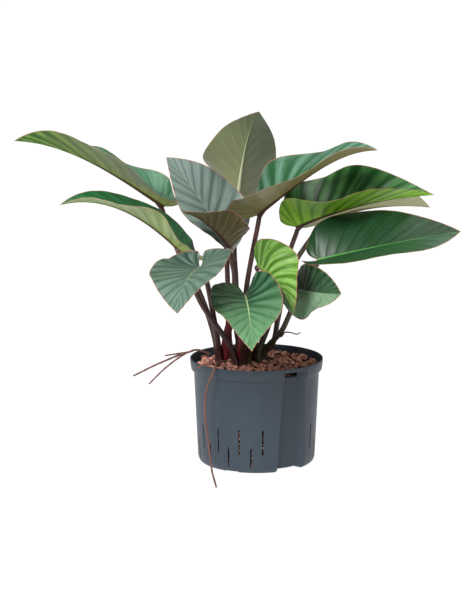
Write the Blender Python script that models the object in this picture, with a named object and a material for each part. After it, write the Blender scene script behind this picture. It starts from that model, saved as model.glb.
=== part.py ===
"""A self-heading philodendron with long glossy leaves in its hydroculture grow pot.

Metres, +Z up. The origin is the centre of the pot's flat middle foot, on the surface it stands on.
The front of the plant faces -Y. Every leaf is one waved blade and one stalk. Three short crowns
stand in pits of the fired clay bed and carry the stalks and the red bud sheaths.
"""

import math
import random
from collections import namedtuple

import bpy
import bmesh
import numpy as np
from mathutils import Vector, geometry

for old in list(bpy.data.objects):
    bpy.data.objects.remove(old, do_unlink=True)

# Clearance between pieces that touch
GAP = 0.0004

# Pot: height, outer radii, walls
POT_HEIGHT = 0.190
RIM_RADIUS = 0.1195
RIM_BAND = 0.020
RIM_STEP = 0.0047
BODY_RADIUS = 0.1128
BASE_RADIUS = 0.105
WALL = 0.0025
FLOOR_TOP = 0.006
FOOT_RADIUS = 0.030
FOOT_RECESS = 0.003
RING_INNER = 0.088
RING_OUTER = 0.094
FOOT_EDGE = 0.010
SIDES = 44
BAND_BASE = POT_HEIGHT - RIM_BAND
INNER_FLOOR_RADIUS = 0.0935
INNER_WALL = ((0.1032, 0.014), (BODY_RADIUS - WALL, BAND_BASE + 0.0025))

# Gauge channel down the wall, right of the front: a steep left side, a flat floor, a slanted right
# side, and a slot in its floor under the lip. Across it, -1 and 1 are its left and right edges
CHANNEL_ANGLE = 36.8
CHANNEL_TOP_WIDTH = 25.0
CHANNEL_BASE_WIDTH = 34.0
CHANNEL_DEPTH = 0.009
CHANNEL_TOP = 0.183
CHANNEL_ACROSS = (-1.0, -0.93, -0.2, 0.55, 1.0)
CHANNEL_SHAPE = (0.0, 1.0, 1.0, 1.0, 0.0)
WINDOW_Z = (0.1705, 0.1825)
WINDOW_WIDTH = 0.030
CHANNEL_SILL = 0.0062

# Drain slits in two rows, in a run of slits on each side, and the notches of the foot ring
SLIT_STEP = 22.45
SLIT_WIDTH = 0.003
SLITS_PER_SIDE = 7
UPPER_SLIT_Z = (0.034, 0.080)
LOWER_SLIT_Z = (0.011, 0.047)
FIRST_RIGHT_SLIT = 62.9
FIRST_LEFT_SLIT = 5.6
NOTCH_STEP = 53.4
NOTCH_WIDTH = 0.028
NOTCH_HEIGHT = 0.0022

# Fired clay bed: pebbles larger than life, domed up from the surface
BED_TOP = 0.1785
BED_EDGE = 0.1745
PEBBLE_STEP = 0.0165
PEBBLE_JITTER = 0.0026
PEBBLE_RISE = 0.0048
PEBBLE_VALLEY = 0.0030
PEBBLE_FACETS = 6

# Crowns: the short stems that carry the stalks, each in a plain pit
CROWN_RADIUS = 0.0175
CROWN_TOP = 0.1802
CROWN_BASE = 0.112
CROWN_SIDES = 16
CROWNS = {"left": (-0.058, 0.022), "front": (-0.027, -0.010), "right": (0.004, 0.022)}
STALK_RING = 0.0119

# Blades and stalks
BLADE = 0.0009
RIDGE = 0.0035
RIDGE_HALF_WIDTH = 0.005
LENGTH_ROWS = 13
FIRST_ROW = 0.035
LAST_ROW = 0.93
COLUMNS = (0.0, 0.0, 0.4, 0.72, 1.0)
NARROW = 0.012
STALK_BASE = 0.0049
STALK_TOP = 0.0039
STALK_SIDES = 7
STALK_RINGS = 16

# A blade half: fold angles at four stations from base to tip, fold added at the end of the basal
# lobe, curl from rib to margin at base and tip, upward bend of the lobe, all in degrees, then the
# height of the margin's wave as a share of the half width and the wave's phase in degrees
Side = namedtuple("Side", "folds lobe_fold curl lobe_bend wave phase")

# A leaf: where the stalk meets the blade, the heading and climb of its rib in degrees, how far the
# rib droops to the tip and how late, its sideways swing, its roll and twist, then the blade's sizes
Leaf = namedtuple("Leaf", "joint heading climb droop bow swing roll twist "
                  "length half_width lobe taper left right crown bearing route")

LEAVES = {
    "upper_left": Leaf(
        joint=(-0.1702, 0.085, 0.4517), heading=205, climb=35, droop=35, bow=2.4,
        swing=-30, roll=8, twist=-19, length=0.301, half_width=0.093, lobe=0.030, taper=1.01,
        left=Side((57, 3, 40, 60), 10, (-64, 4), 50, 0.13, 245),
        right=Side((39, -1, 19, 19), -10, (20, -32), 40, 0.16, 180),
        crown="left", bearing=152,
        route=((-0.105, 0.060, 0.3005), (-0.140, 0.075, 0.365), (-0.160, 0.083, 0.415))),
    "lower_left": Leaf(
        joint=(-0.1335, -0.020, 0.385), heading=173, climb=43, droop=57, bow=1.7,
        swing=24, roll=1, twist=4, length=0.243, half_width=0.074, lobe=0.048, taper=1.00,
        left=Side((46, 14, 29, 29), -9, (-21, 4), 38, 0.20, 270),
        right=Side((14, 7, 19, 28), -25, (1, 8), 53, 0.06, 320),
        crown="front", bearing=215,
        route=((-0.106, -0.006, 0.303), (-0.1225, -0.012, 0.350))),
    "inner_left": Leaf(
        joint=(-0.051, 0.030, 0.384), heading=175, climb=62, droop=17, bow=1.6,
        swing=-3, roll=24, twist=6, length=0.197, half_width=0.078, lobe=0.020, taper=0.93,
        left=Side((25, 8, -7, 9), 0, (13, -8), -40, 0.04, 340),
        right=Side((-9, 22, 16, 21), -25, (36, 21), -37, 0.21, 355),
        crown="left", bearing=18,
        route=((-0.050, 0.031, 0.225), (-0.051, 0.031, 0.289), (-0.053, 0.030, 0.351))),
    "small_left": Leaf(
        joint=(-0.049, -0.030, 0.392), heading=241, climb=41, droop=26, bow=1.7,
        swing=-15, roll=-10, twist=0, length=0.160, half_width=0.055, lobe=0.016, taper=1.07,
        left=Side((57, 39, 24, 8), 12, (-30, -1), 75, 0.19, 160),
        right=Side((56, 50, 36, 19), -18, (3, -12), 64, 0.04, 320),
        crown="front", bearing=100,
        route=((-0.036, 0.000, 0.240), (-0.040, -0.012, 0.296), (-0.041, -0.025, 0.353))),
    "top": Leaf(
        joint=(-0.037, 0.150, 0.431), heading=-74, climb=69, droop=41, bow=2.3,
        swing=4, roll=9, twist=2, length=0.243, half_width=0.080, lobe=0.043, taper=1.01,
        left=Side((36, 20, 9, -6), 11, (15, 11), 23, 0.02, 150),
        right=Side((62, 29, 5, 7), 0, (33, 0), 20, 0.17, 60),
        crown="left", bearing=80,
        route=((-0.037, 0.085, 0.297), (-0.040, 0.120, 0.365))),
    "upper_right": Leaf(
        joint=(0.003, -0.000, 0.449), heading=-21, climb=39, droop=36, bow=2.4,
        swing=-21, roll=-8, twist=5, length=0.278, half_width=0.085, lobe=0.053, taper=0.97,
        left=Side((25, 43, 27, 10), 5, (5, 4), 40, 0.23, 355),
        right=Side((50, -7, 1, 40), -8, (-8, -19), 40, 0.09, 275),
        crown="front", bearing=35,
        route=((-0.019, -0.010, 0.308), (-0.008, -0.004, 0.377))),
    "middle_right": Leaf(
        joint=(0.073, 0.030, 0.422), heading=-10, climb=25, droop=23, bow=1.1,
        swing=10, roll=1, twist=-3, length=0.253, half_width=0.090, lobe=0.025, taper=1.12,
        left=Side((55, 41, 61, 67), 0, (4, 32), 24, 0.35, 120),
        right=Side((55, 20, 18, 54), 0, (-12, -11), 30, 0.11, 120),
        crown="right", bearing=25,
        route=((0.026, 0.030, 0.203), (0.039, 0.030, 0.254), (0.062, 0.030, 0.384))),
    "back_right": Leaf(
        joint=(0.113, 0.100, 0.415), heading=27, climb=24, droop=34, bow=0.7,
        swing=-1, roll=9, twist=4, length=0.241, half_width=0.073, lobe=0.041, taper=0.98,
        left=Side((45, 45, 44, 43), 0, (8, 8), 12, 0.02, 0),
        right=Side((45, 49, 53, 56), 0, (10, 12), 12, 0.03, 0),
        crown="right", bearing=-95,
        route=((0.020, 0.018, 0.239), (0.037, 0.045, 0.286), (0.076, 0.085, 0.357))),
    "lower_right": Leaf(
        joint=(0.109, -0.020, 0.370), heading=-19, climb=16, droop=6, bow=1.4,
        swing=11, roll=-31, twist=1, length=0.261, half_width=0.090, lobe=0.026, taper=0.97,
        left=Side((38, 13, 6, 16), -24, (-17, 1), 75, 0.04, 135),
        right=Side((32, 29, 23, -18), 19, (-6, 20), 1, 0.04, 95),
        crown="right", bearing=-45,
        route=((0.046, -0.005, 0.240), (0.064, -0.010, 0.281))),
    "small_right": Leaf(
        joint=(0.071, -0.060, 0.324), heading=-62, climb=3, droop=-7, bow=1.2,
        swing=5, roll=-58, twist=-5, length=0.143, half_width=0.050, lobe=0.014, taper=0.97,
        left=Side((18, 19, 14, 1), 0, (25, 18), 70, 0.03, 240),
        right=Side((31, 0, -6, -5), 3, (29, 17), 70, 0.30, 50),
        crown="front", bearing=-25,
        route=((0.009, -0.030, 0.245), (0.034, -0.050, 0.304))),
    "young": Leaf(
        joint=(0.002, -0.090, 0.372), heading=-51, climb=-20, droop=57, bow=1.9,
        swing=6, roll=43, twist=5, length=0.122, half_width=0.064, lobe=0.014, taper=1.16,
        left=Side((49, 37, 27, 22), 0, (-6, -7), 35, 0.07, 335),
        right=Side((29, 60, 57, 31), -11, (16, 19), 35, 0.30, 225),
        crown="right", bearing=190,
        route=((-0.001, -0.030, 0.264), (0.004, -0.075, 0.335))),
    "front": Leaf(
        joint=(-0.021, -0.140, 0.329), heading=-85, climb=-7, droop=20, bow=1.3,
        swing=-4, roll=-11, twist=4, length=0.210, half_width=0.066, lobe=0.030, taper=1.03,
        left=Side((29, -4, -11, 33), 30, (40, -7), -40, 0.07, 340),
        right=Side((32, 19, 23, 17), 13, (-6, 13), 8, 0.11, 55),
        crown="front", bearing=280,
        route=((-0.017, -0.075, 0.264), (-0.019, -0.105, 0.305))),
    "front_left": Leaf(
        joint=(-0.099, -0.105, 0.373), heading=-99, climb=3, droop=43, bow=2.4,
        swing=1, roll=-9, twist=-3, length=0.239, half_width=0.074, lobe=0.036, taper=0.90,
        left=Side((33, 7, 7, 15), -2, (-9, 2), 75, 0.09, 275),
        right=Side((9, 9, 5, 1), 30, (20, 4), 75, 0.09, 85),
        crown="left", bearing=218,
        route=((-0.078, 0.004, 0.268), (-0.088, -0.030, 0.330))),
}

# Bud sheaths: foot, tip and half width of each
SHEATH_FLATNESS = 0.6
SHEATHS = {
    "sheath_left": ((-0.058, 0.022), (-0.050, 0.016, 0.262), 0.0080),
    "sheath_front": ((-0.027, -0.010), (-0.028, -0.017, 0.246), 0.0072),
    "sheath_right": ((0.004, 0.022), (-0.004, 0.027, 0.222), 0.0052),
    "sheath_dried": ((-0.0395, -0.0070), (-0.038, -0.010, 0.219), 0.0034),
}

# Aerial roots, as points chosen along each one
ROOT_RADIUS = 0.0021
HANGING_ROOT = (
    (-0.062, -0.030, 0.1885), (-0.066, -0.060, 0.1930), (-0.0705, -0.088, 0.1970), (-0.0735, -0.099, 0.1930),
    (-0.080, -0.104, 0.177), (-0.086, -0.102, 0.163), (-0.0905, -0.100, 0.138), (-0.0915, -0.100, 0.105),
    (-0.087, -0.100, 0.068), (-0.083, -0.101, 0.035), (-0.0805, -0.105, 0.0145), (-0.079, -0.112, 0.0062),
    (-0.0775, -0.122, 0.0032), (-0.074, -0.160, 0.0023), (-0.071, -0.195, 0.0020),
)
SIDE_ROOT = (
    (-0.084, 0.030, 0.1885), (-0.098, 0.029, 0.1945), (-0.110, 0.028, 0.1970), (-0.122, 0.026, 0.1935),
    (-0.136, 0.022, 0.190), (-0.161, 0.012, 0.182), (-0.186, 0.006, 0.172), (-0.205, 0.003, 0.163),
    (-0.222, 0.000, 0.155),
)
SIDE_ROOT_BRANCHES = (
    ((-0.124, 0.026, 0.193), (-0.140, 0.030, 0.190), (-0.166, 0.030, 0.186)),
    ((-0.127, 0.025, 0.192), (-0.146, 0.016, 0.181), (-0.166, 0.010, 0.166), (-0.194, 0.004, 0.139)),
)
RIM_ROOT = (
    (-0.066, -0.066, 0.1885), (-0.075, -0.082, 0.1945), (-0.082, -0.088, 0.1968), (-0.094, -0.090, 0.1945),
    (-0.110, -0.091, 0.188),
)


def material(name, colour, roughness, metallic=0.0):
    """A plain Principled finish."""
    finish = bpy.data.materials.new(name)
    finish.use_nodes = True
    shader = finish.node_tree.nodes["Principled BSDF"]
    shader.inputs["Base Color"].default_value = (*colour, 1.0)
    shader.inputs["Roughness"].default_value = roughness
    shader.inputs["Metallic"].default_value = metallic
    return finish


POT_FINISH = material("pot_blue_grey", (0.075, 0.100, 0.125), 0.45)
CLAY_FINISH = material("fired_clay", (0.36, 0.13, 0.075), 0.9)
LEAF_FINISH = material("leaf_green", (0.045, 0.115, 0.050), 0.3)
YOUNG_FINISH = material("young_leaf_green", (0.16, 0.30, 0.05), 0.35)
STALK_FINISH = material("stalk_maroon", (0.050, 0.020, 0.018), 0.4)
SHEATH_FINISH = material("sheath_red", (0.20, 0.025, 0.030), 0.45)
DRIED_FINISH = material("sheath_dried_brown", (0.20, 0.09, 0.05), 0.8)
ROOT_FINISH = material("root_brown", (0.17, 0.065, 0.040), 0.8)
CROWN_FINISH = material("crown_brown", (0.12, 0.060, 0.035), 0.85)


def add_mesh(name, points, faces, finish, smooth_angle=35):
    """A mesh object with its doubles merged and its faces pointing out."""
    mesh = bpy.data.meshes.new(name)
    mesh.from_pydata([tuple(p) for p in points], [], faces)
    work = bmesh.new()
    work.from_mesh(mesh)
    bmesh.ops.remove_doubles(work, verts=work.verts, dist=0.00001)
    bmesh.ops.dissolve_degenerate(work, edges=work.edges, dist=0.000005)
    bmesh.ops.recalc_face_normals(work, faces=work.faces)
    if work.calc_volume(signed=True) < 0:
        bmesh.ops.reverse_faces(work, faces=work.faces)
    work.to_mesh(mesh)
    work.free()
    mesh.shade_smooth()
    mesh.set_sharp_from_angle(angle=math.radians(smooth_angle))
    piece = bpy.data.objects.new(name, mesh)
    piece.data.materials.append(finish)
    bpy.context.scene.collection.objects.link(piece)
    return piece


def skin(name, rings, finish, smooth_angle=35):
    """A surface through rings of equally many points. A ring of one point is a pole."""
    sides = max(len(ring) for ring in rings)
    points = []
    numbered = []
    for ring in rings:
        first = len(points)
        points += [tuple(p) for p in ring]
        numbered.append([first + (k if len(ring) > 1 else 0) for k in range(sides)])
    faces = []
    for low, high in zip(numbered, numbered[1:]):
        for k in range(sides):
            corners = (low[k], low[(k + 1) % sides], high[(k + 1) % sides], high[k])
            face = tuple(dict.fromkeys(corners))
            if len(face) > 2:
                faces.append(face)
    return add_mesh(name, points, faces, finish, smooth_angle)


def turned(name, profile, centre, sides, finish, smooth_angle=35):
    """A profile of (radius, height) pairs turned about an upright axis. A radius of 0 is a pole."""
    rings = []
    for radius, height in profile:
        angles = np.arange(sides if radius else 1) * math.tau / sides
        rings.append([(centre[0] + radius * math.cos(a), centre[1] + radius * math.sin(a), height)
                      for a in angles])
    return skin(name, rings, finish, smooth_angle)


def smooth_path(route, count):
    """Points spaced evenly along a smooth cubic curve through the route's own points."""
    knots = np.array(route, float)
    steps = np.linalg.norm(np.diff(knots, axis=0), axis=1)
    marks = np.concatenate([[0], np.cumsum(steps)])
    slopes = np.gradient(knots, marks, axis=0)
    places = np.linspace(0, marks[-1], count)
    k = np.clip(np.searchsorted(marks, places, side="right") - 1, 0, len(steps) - 1)
    h = steps[k][:, None]
    t = (places - marks[k])[:, None] / h
    start_pull = (t ** 3 - 2 * t ** 2 + t) * h * slopes[k]
    end_pull = (t ** 3 - t ** 2) * h * slopes[k + 1]
    blend = 3 * t ** 2 - 2 * t ** 3
    return knots[k] * (1 - blend) + knots[k + 1] * blend + start_pull + end_pull


def tube(name, path, radii, sides, finish, upright=False, flatness=1.0):
    """A closed tube along a path, its rings carried along without twist. Its foot can be level and
    its section flattened."""
    tangents = np.gradient(path, axis=0)
    if upright:
        tangents[0] = (0, 0, 1)
    tangents /= np.linalg.norm(tangents, axis=1)[:, None]
    across = np.array([1.0, 0.0, 0.0]) if upright else np.cross(tangents[0], (0.31, 0.17, 0.93))
    points = []
    for place, tangent, radius in zip(path, tangents, radii):
        across = across - tangent * across.dot(tangent)
        across = across / np.linalg.norm(across)
        other = np.cross(tangent, across)
        for k in range(sides):
            angle = math.tau * k / sides
            points.append(place + radius * (math.cos(angle) * across + flatness * math.sin(angle) * other))
    faces = [tuple(range(sides))[::-1], tuple(len(points) - sides + k for k in range(sides))]
    for ring in range(len(path) - 1):
        for k in range(sides):
            a = ring * sides + k
            b = ring * sides + (k + 1) % sides
            faces.append((a, b, b + sides, a + sides))
    return add_mesh(name, points, faces, finish, 50)


def combine(piece, cutters, operation, solver="EXACT"):
    """A Boolean with a collection of other objects, applied, and the objects then removed."""
    group = bpy.data.collections.new(piece.name + "_" + operation.lower())
    bpy.context.scene.collection.children.link(group)
    for cutter in cutters:
        bpy.context.scene.collection.objects.unlink(cutter)
        group.objects.link(cutter)
        cutter.hide_render = True
        cutter.display_type = "WIRE"
    modifier = piece.modifiers.new(operation.lower(), "BOOLEAN")
    modifier.operation = operation
    modifier.solver = solver
    modifier.operand_type = "COLLECTION"
    modifier.collection = group
    evaluated = piece.evaluated_get(bpy.context.evaluated_depsgraph_get())
    result = bpy.data.meshes.new_from_object(evaluated)
    piece.modifiers.clear()
    old_mesh = piece.data
    piece.data = result
    bpy.data.meshes.remove(old_mesh)
    for cutter in cutters:
        bpy.data.objects.remove(cutter, do_unlink=True)
    bpy.data.collections.remove(group)
    return piece


def box_cutter(name, size, place, turn):
    """A box of the given size, turned about Z and set at its place."""
    points = []
    for x in (-0.5, 0.5):
        for y in (-0.5, 0.5):
            for z in (-0.5, 0.5):
                dx, dy = x * size[0], y * size[1]
                points.append((place[0] + dx * math.cos(turn) - dy * math.sin(turn),
                               place[1] + dx * math.sin(turn) + dy * math.cos(turn),
                               place[2] + z * size[2]))
    faces = [(0, 1, 3, 2), (4, 6, 7, 5), (0, 4, 5, 1), (2, 3, 7, 6), (0, 2, 6, 4), (1, 5, 7, 3)]
    return add_mesh(name, points, faces, POT_FINISH)


def around(radius, degrees_from_front, height):
    """A point at a radius, by its angle from the front, positive to the right."""
    angle = math.radians(degrees_from_front - 90)
    return (radius * math.cos(angle), radius * math.sin(angle), height)


def wall_radius(height):
    """The outer radius of the tapered wall at a height."""
    share = height / BAND_BASE
    return BASE_RADIUS + (BODY_RADIUS - BASE_RADIUS) * share


def channel_half_angle(height, inset):
    """Half the angle that the channel takes up at a height, in radians, wider behind the wall."""
    share = min(max(height / BAND_BASE, 0), 1)
    width = CHANNEL_BASE_WIDTH + (CHANNEL_TOP_WIDTH - CHANNEL_BASE_WIDTH) * share
    return math.radians(width) / 2 + inset / BODY_RADIUS


def wall_ring(radius, height, inset=0.0, channelled=True):
    """A ring of the wall, dented by the channel and raised to the channel's sill. inset is how far
    it lies behind the outside."""
    half = channel_half_angle(height, inset)
    middle = math.radians(CHANNEL_ANGLE - 90)
    across = np.array(CHANNEL_ACROSS)
    rest = middle + half + (math.tau - 2 * half) * np.arange(1, SIDES) / SIDES
    angles = np.concatenate([middle + half * across, rest])
    reach = np.full(len(angles), radius)
    heights = np.full(len(angles), height)
    if channelled:
        floor = min(wall_radius(height), BODY_RADIUS) - CHANNEL_DEPTH - inset
        reach[:len(across)] -= max(radius - floor, 0) * np.array(CHANNEL_SHAPE)
        if radius >= RING_INNER:
            heights[1:len(across) - 1] = max(height, CHANNEL_SILL + inset)
    return np.stack([reach * np.cos(angles), reach * np.sin(angles), heights], -1)


def make_pot():
    """The moulded pot: a wall with its rim band, channel, slits, notched ring and middle foot."""
    foot = [(FOOT_RADIUS, 0), (FOOT_RADIUS + 0.003, FOOT_RECESS), (RING_INNER - 0.003, FOOT_RECESS),
            (RING_INNER, 0), (RING_OUTER, 0)]
    rings = [[(0, 0, 0)]] + [wall_ring(radius, height) for radius, height in foot]
    for degrees in (35, 65, 90):
        rise = math.radians(degrees)
        radius = BASE_RADIUS - FOOT_EDGE * (1 - math.sin(rise))
        rings.append(wall_ring(radius, FOOT_EDGE * (1 - math.cos(rise))))
    lip = RIM_RADIUS - 0.0002
    rings += [wall_ring(BODY_RADIUS, BAND_BASE), wall_ring(BODY_RADIUS + RIM_STEP, BAND_BASE),
              wall_ring(lip, CHANNEL_TOP)]
    edge = ((lip, CHANNEL_TOP), (RIM_RADIUS, POT_HEIGHT - 0.0016), (RIM_RADIUS - 0.0012, POT_HEIGHT),
            (RIM_RADIUS - WALL, POT_HEIGHT))
    rings += [wall_ring(radius, height, channelled=False) for radius, height in edge]
    ledge = CHANNEL_TOP + WALL
    inside = RIM_RADIUS - WALL - 0.0005
    rings += [wall_ring(inside, ledge, WALL, channelled=False), wall_ring(inside, ledge, WALL),
              wall_ring(BODY_RADIUS + RIM_STEP - WALL, BAND_BASE + 0.004, WALL)]
    rings += [wall_ring(radius, height, WALL) for radius, height in reversed(INNER_WALL)]
    rings += [wall_ring(INNER_FLOOR_RADIUS, FLOOR_TOP, WALL), [(0, 0, FLOOR_TOP)]]
    pot = skin("pot", rings, POT_FINISH, 30)

    cutters = []
    for first, step in ((FIRST_RIGHT_SLIT, SLIT_STEP / 2), (FIRST_LEFT_SLIT, -SLIT_STEP / 2)):
        for k in range(2 * SLITS_PER_SIDE - 1):
            low, high = LOWER_SLIT_Z if k % 2 else UPPER_SLIT_Z
            middle = (low + high) / 2
            degrees = first + k * step
            place = around(wall_radius(middle) - WALL / 2, degrees, middle)
            turn = math.radians(degrees - 90)
            cutters.append(box_cutter("slit", (0.016, SLIT_WIDTH, high - low), place, turn))
    for k in range(-3, 3):
        degrees = (k + 0.5) * NOTCH_STEP
        turn = math.radians(degrees - 90)
        place = around(BASE_RADIUS - 0.004, degrees, 0)
        cutters.append(box_cutter("notch", (0.030, NOTCH_WIDTH, 2 * NOTCH_HEIGHT), place, turn))
    low, high = WINDOW_Z
    degrees = CHANNEL_ANGLE - 2.4
    place = around(BODY_RADIUS - CHANNEL_DEPTH, degrees, (low + high) / 2)
    turn = math.radians(degrees - 90)
    cutters.append(box_cutter("window", (0.012, WINDOW_WIDTH, high - low), place, turn))
    combine(pot, cutters, "DIFFERENCE")
    return pot


def make_bed():
    """The clay bed: a side just inside the wall, and a top of domed pebbles on a jittered lattice."""
    draw = random.Random(7)
    reach, top_height = INNER_WALL[-1][0] - 2 * GAP, BED_EDGE
    inset = WALL + 2 * GAP
    edge = wall_ring(reach, top_height, inset)
    sides = len(edge)
    middle = math.radians(CHANNEL_ANGLE - 90)
    centres = []
    rows = int(reach / (PEBBLE_STEP * 0.866)) + 1
    for row in range(-rows, rows + 1):
        for column in range(-8, 9):
            x = (column + 0.5 * (row % 2)) * PEBBLE_STEP + draw.uniform(-1, 1) * PEBBLE_JITTER
            y = row * 0.866 * PEBBLE_STEP + draw.uniform(-1, 1) * PEBBLE_JITTER
            off = abs(math.atan2(y, x) - middle) / channel_half_angle(top_height, inset)
            limit = reach - PEBBLE_STEP * (0.58 if off > 1.2 else 1.1)
            if math.hypot(x, y) < limit:
                centres.append((x, y))
    flat = []
    heights = []
    for x, y in centres:
        rise = PEBBLE_RISE * draw.uniform(0.7, 1.25)
        turn = draw.uniform(0, math.tau)
        flat.append((x, y))
        heights.append(BED_TOP + rise)
        for k in range(PEBBLE_FACETS):
            angle = turn + k * math.tau / PEBBLE_FACETS
            spread = PEBBLE_STEP * draw.uniform(0.30, 0.36)
            flat.append((x + spread * math.cos(angle), y + spread * math.sin(angle)))
            heights.append(BED_TOP + rise * 0.72)
    valleys = geometry.delaunay_2d_cdt([Vector(c) for c in centres], [], [], 0, 0.0001)
    for triangle in valleys[2]:
        corners = [valleys[0][k] for k in triangle]
        longest = max((corners[k] - corners[k - 1]).length for k in range(3))
        if longest < 1.7 * PEBBLE_STEP:
            centre = (corners[0] + corners[1] + corners[2]) / 3
            flat.append((centre.x, centre.y))
            heights.append(BED_TOP - PEBBLE_VALLEY)
    first_edge = len(flat)
    flat += [(x, y) for x, y, _ in edge]
    heights += [top_height] * sides
    rim = [(first_edge + n, first_edge + (n + 1) % sides) for n in range(sides)]
    surface = geometry.delaunay_2d_cdt([Vector(p) for p in flat], rim, [], 1, 0.00001)
    points = [(p.x, p.y, heights[surface[3][k][0]]) for k, p in enumerate(surface[0])]
    faces = [tuple(face) for face in surface[2]]
    ring = [next(k for k, ids in enumerate(surface[3]) if first_edge + n in ids) for n in range(sides)]
    below = [(radius - 2 * GAP, height) for radius, height in reversed(INNER_WALL[:-1])]
    below.append((INNER_FLOOR_RADIUS - 2 * GAP, FLOOR_TOP + GAP))
    for radius, height in below:
        lower = [len(points) + n for n in range(sides)]
        points += [tuple(p) for p in wall_ring(radius, height, inset)]
        faces += [(ring[n], lower[n], lower[(n + 1) % sides], ring[(n + 1) % sides]) for n in range(sides)]
        ring = lower
    points.append((0, 0, FLOOR_TOP + GAP))
    faces += [(ring[n], len(points) - 1, ring[(n + 1) % sides]) for n in range(sides)]
    bed = add_mesh("clay_bed", points, faces, CLAY_FINISH, 20)

    pits = []
    for centre in CROWNS.values():
        profile = [(0, CROWN_BASE - GAP), (CROWN_RADIUS + 2 * GAP, CROWN_BASE - GAP),
                   (CROWN_RADIUS + 2 * GAP, POT_HEIGHT), (0, POT_HEIGHT)]
        pits.append(turned("pit", profile, centre, CROWN_SIDES, CLAY_FINISH))
    combine(bed, pits, "DIFFERENCE")
    return bed


def make_crown(name, centre):
    """A short stem, waisted between old leaf scars, with a flat top for the stalks."""
    half_way = (CROWN_BASE + CROWN_TOP) / 2
    profile = [(0, CROWN_BASE), (0.8 * CROWN_RADIUS, CROWN_BASE), (CROWN_RADIUS, CROWN_BASE + 0.008),
               (0.92 * CROWN_RADIUS, half_way), (CROWN_RADIUS, half_way + 0.004), (CROWN_RADIUS, CROWN_TOP),
               (0, CROWN_TOP)]
    return turned("crown_" + name, profile, centre, CROWN_SIDES, CROWN_FINISH)


# The flat outline of a blade half. A row runs from the rib (t = 0) to the margin (t = 1), and the
# rows run from the sinus at the base (s = 0) round the lobe to the tip (s = 1).
BASE_POWER = 0.5
SINUS_SHARE = 0.28
VEINS_FROM_BASE = 0.2
VEIN_POWER = 1.5
VEIN_BOW = 0.35


def flat_blade(leaf, s, t):
    """Distance along the rib and across from it for each (s, t) of a flat blade half."""
    share = (1 - np.cos(np.pi * s)) / 2
    widest = BASE_POWER / (BASE_POWER + leaf.taper)
    full = widest ** BASE_POWER * (1 - widest) ** leaf.taper
    across = leaf.half_width * share ** BASE_POWER * (1 - share) ** leaf.taper / full
    along = -leaf.lobe + (leaf.length + leaf.lobe) * share
    notch = 1 - (1 - np.clip(across / (SINUS_SHARE * leaf.half_width), 0, 1)) ** 2
    along = np.where(along < 0, along * np.where(share > widest, 1, notch), along)
    rib = leaf.length * np.clip((s - VEINS_FROM_BASE) / (1 - VEINS_FROM_BASE), 0, None) ** VEIN_POWER
    chord = np.hypot(along - rib, across)
    bow = VEIN_BOW * chord * t * (1 - t) * np.clip((s - VEINS_FROM_BASE) / 0.3, 0, 1) * (1 - s)
    return rib + (along - rib) * t - bow, across * t


def rib_frames(leaf, along):
    """Centre, forward, leftward and upward directions of the curved rib at each distance along it."""
    stations = np.linspace(0, 1, 60)
    heading = np.radians(leaf.heading + leaf.swing * stations)
    climb = np.radians(leaf.climb - leaf.droop * stations ** leaf.bow)
    forward = np.stack([np.cos(climb) * np.cos(heading), np.cos(climb) * np.sin(heading), np.sin(climb)], -1)
    up = np.stack([-np.sin(climb) * np.cos(heading), -np.sin(climb) * np.sin(heading), np.cos(climb)], -1)
    left = np.cross(up, forward)
    roll = np.radians(leaf.roll + leaf.twist * stations)[:, None]
    steps = (forward[1:] + forward[:-1]) / 2 * leaf.length / (len(stations) - 1)
    centre = np.vstack([np.zeros(3), np.cumsum(steps, axis=0)]) + np.array(leaf.joint)
    turned_left = left * np.cos(roll) - up * np.sin(roll)
    turned_up = up * np.cos(roll) + left * np.sin(roll)
    frames = []
    for values in (centre, forward, turned_left, turned_up):
        frames.append(np.stack([np.interp(along, stations * leaf.length, values[:, k]) for k in range(3)], -1))
    return frames


def blade_half(leaf, hand, s, t):
    """Places of a blade half. It folds up from the rib, curls in an arc, waves at its margin, and
    its lobe bends in an arc behind the joint. hand is 1 for the left half and -1 for the right."""
    form = leaf.left if hand > 0 else leaf.right
    along, across = flat_blade(leaf, s, t)
    centre, forward, left, up = rib_frames(leaf, along)
    behind = np.clip(-along, 0, None)
    w = np.clip(along / leaf.length, 0, 1)
    a, b, c, d = form.folds
    fold = a * (1 - w) ** 3 + 3 * b * w * (1 - w) ** 2 + 3 * c * w * w * (1 - w) + d * w ** 3
    fold = np.radians(fold + form.lobe_fold * behind / leaf.lobe)
    curl = np.radians(form.curl[0] + (form.curl[1] - form.curl[0]) * w) / leaf.half_width
    curl = np.where(np.abs(curl) < 0.001, 0.001, curl)
    slope = fold + curl * across
    sideways = (np.sin(slope) - np.sin(fold)) / curl
    upward = (np.cos(fold) - np.cos(slope)) / curl
    phase = 3 * np.pi * along / leaf.length + math.radians(form.phase)
    wave = form.wave * across ** 2 / leaf.half_width * np.sin(phase)
    sideways = sideways - wave * np.sin(slope)
    upward = upward + wave * np.cos(slope)
    cos_fold, sin_fold = np.cos(fold)[..., None], np.sin(fold)[..., None]
    outward = left * hand * cos_fold + up * sin_fold
    face_up = up * cos_fold - left * hand * sin_fold
    out_share = sideways[..., None] * cos_fold + upward[..., None] * sin_fold
    up_share = upward[..., None] * cos_fold - sideways[..., None] * sin_fold
    bend = math.radians(form.lobe_bend) / leaf.lobe
    turn = bend * behind[..., None]
    centre = centre - forward * np.sin(turn) / bend + face_up * (1 - np.cos(turn)) / bend
    return centre + outward * out_share + (face_up * np.cos(turn) + forward * np.sin(turn)) * up_share


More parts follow.
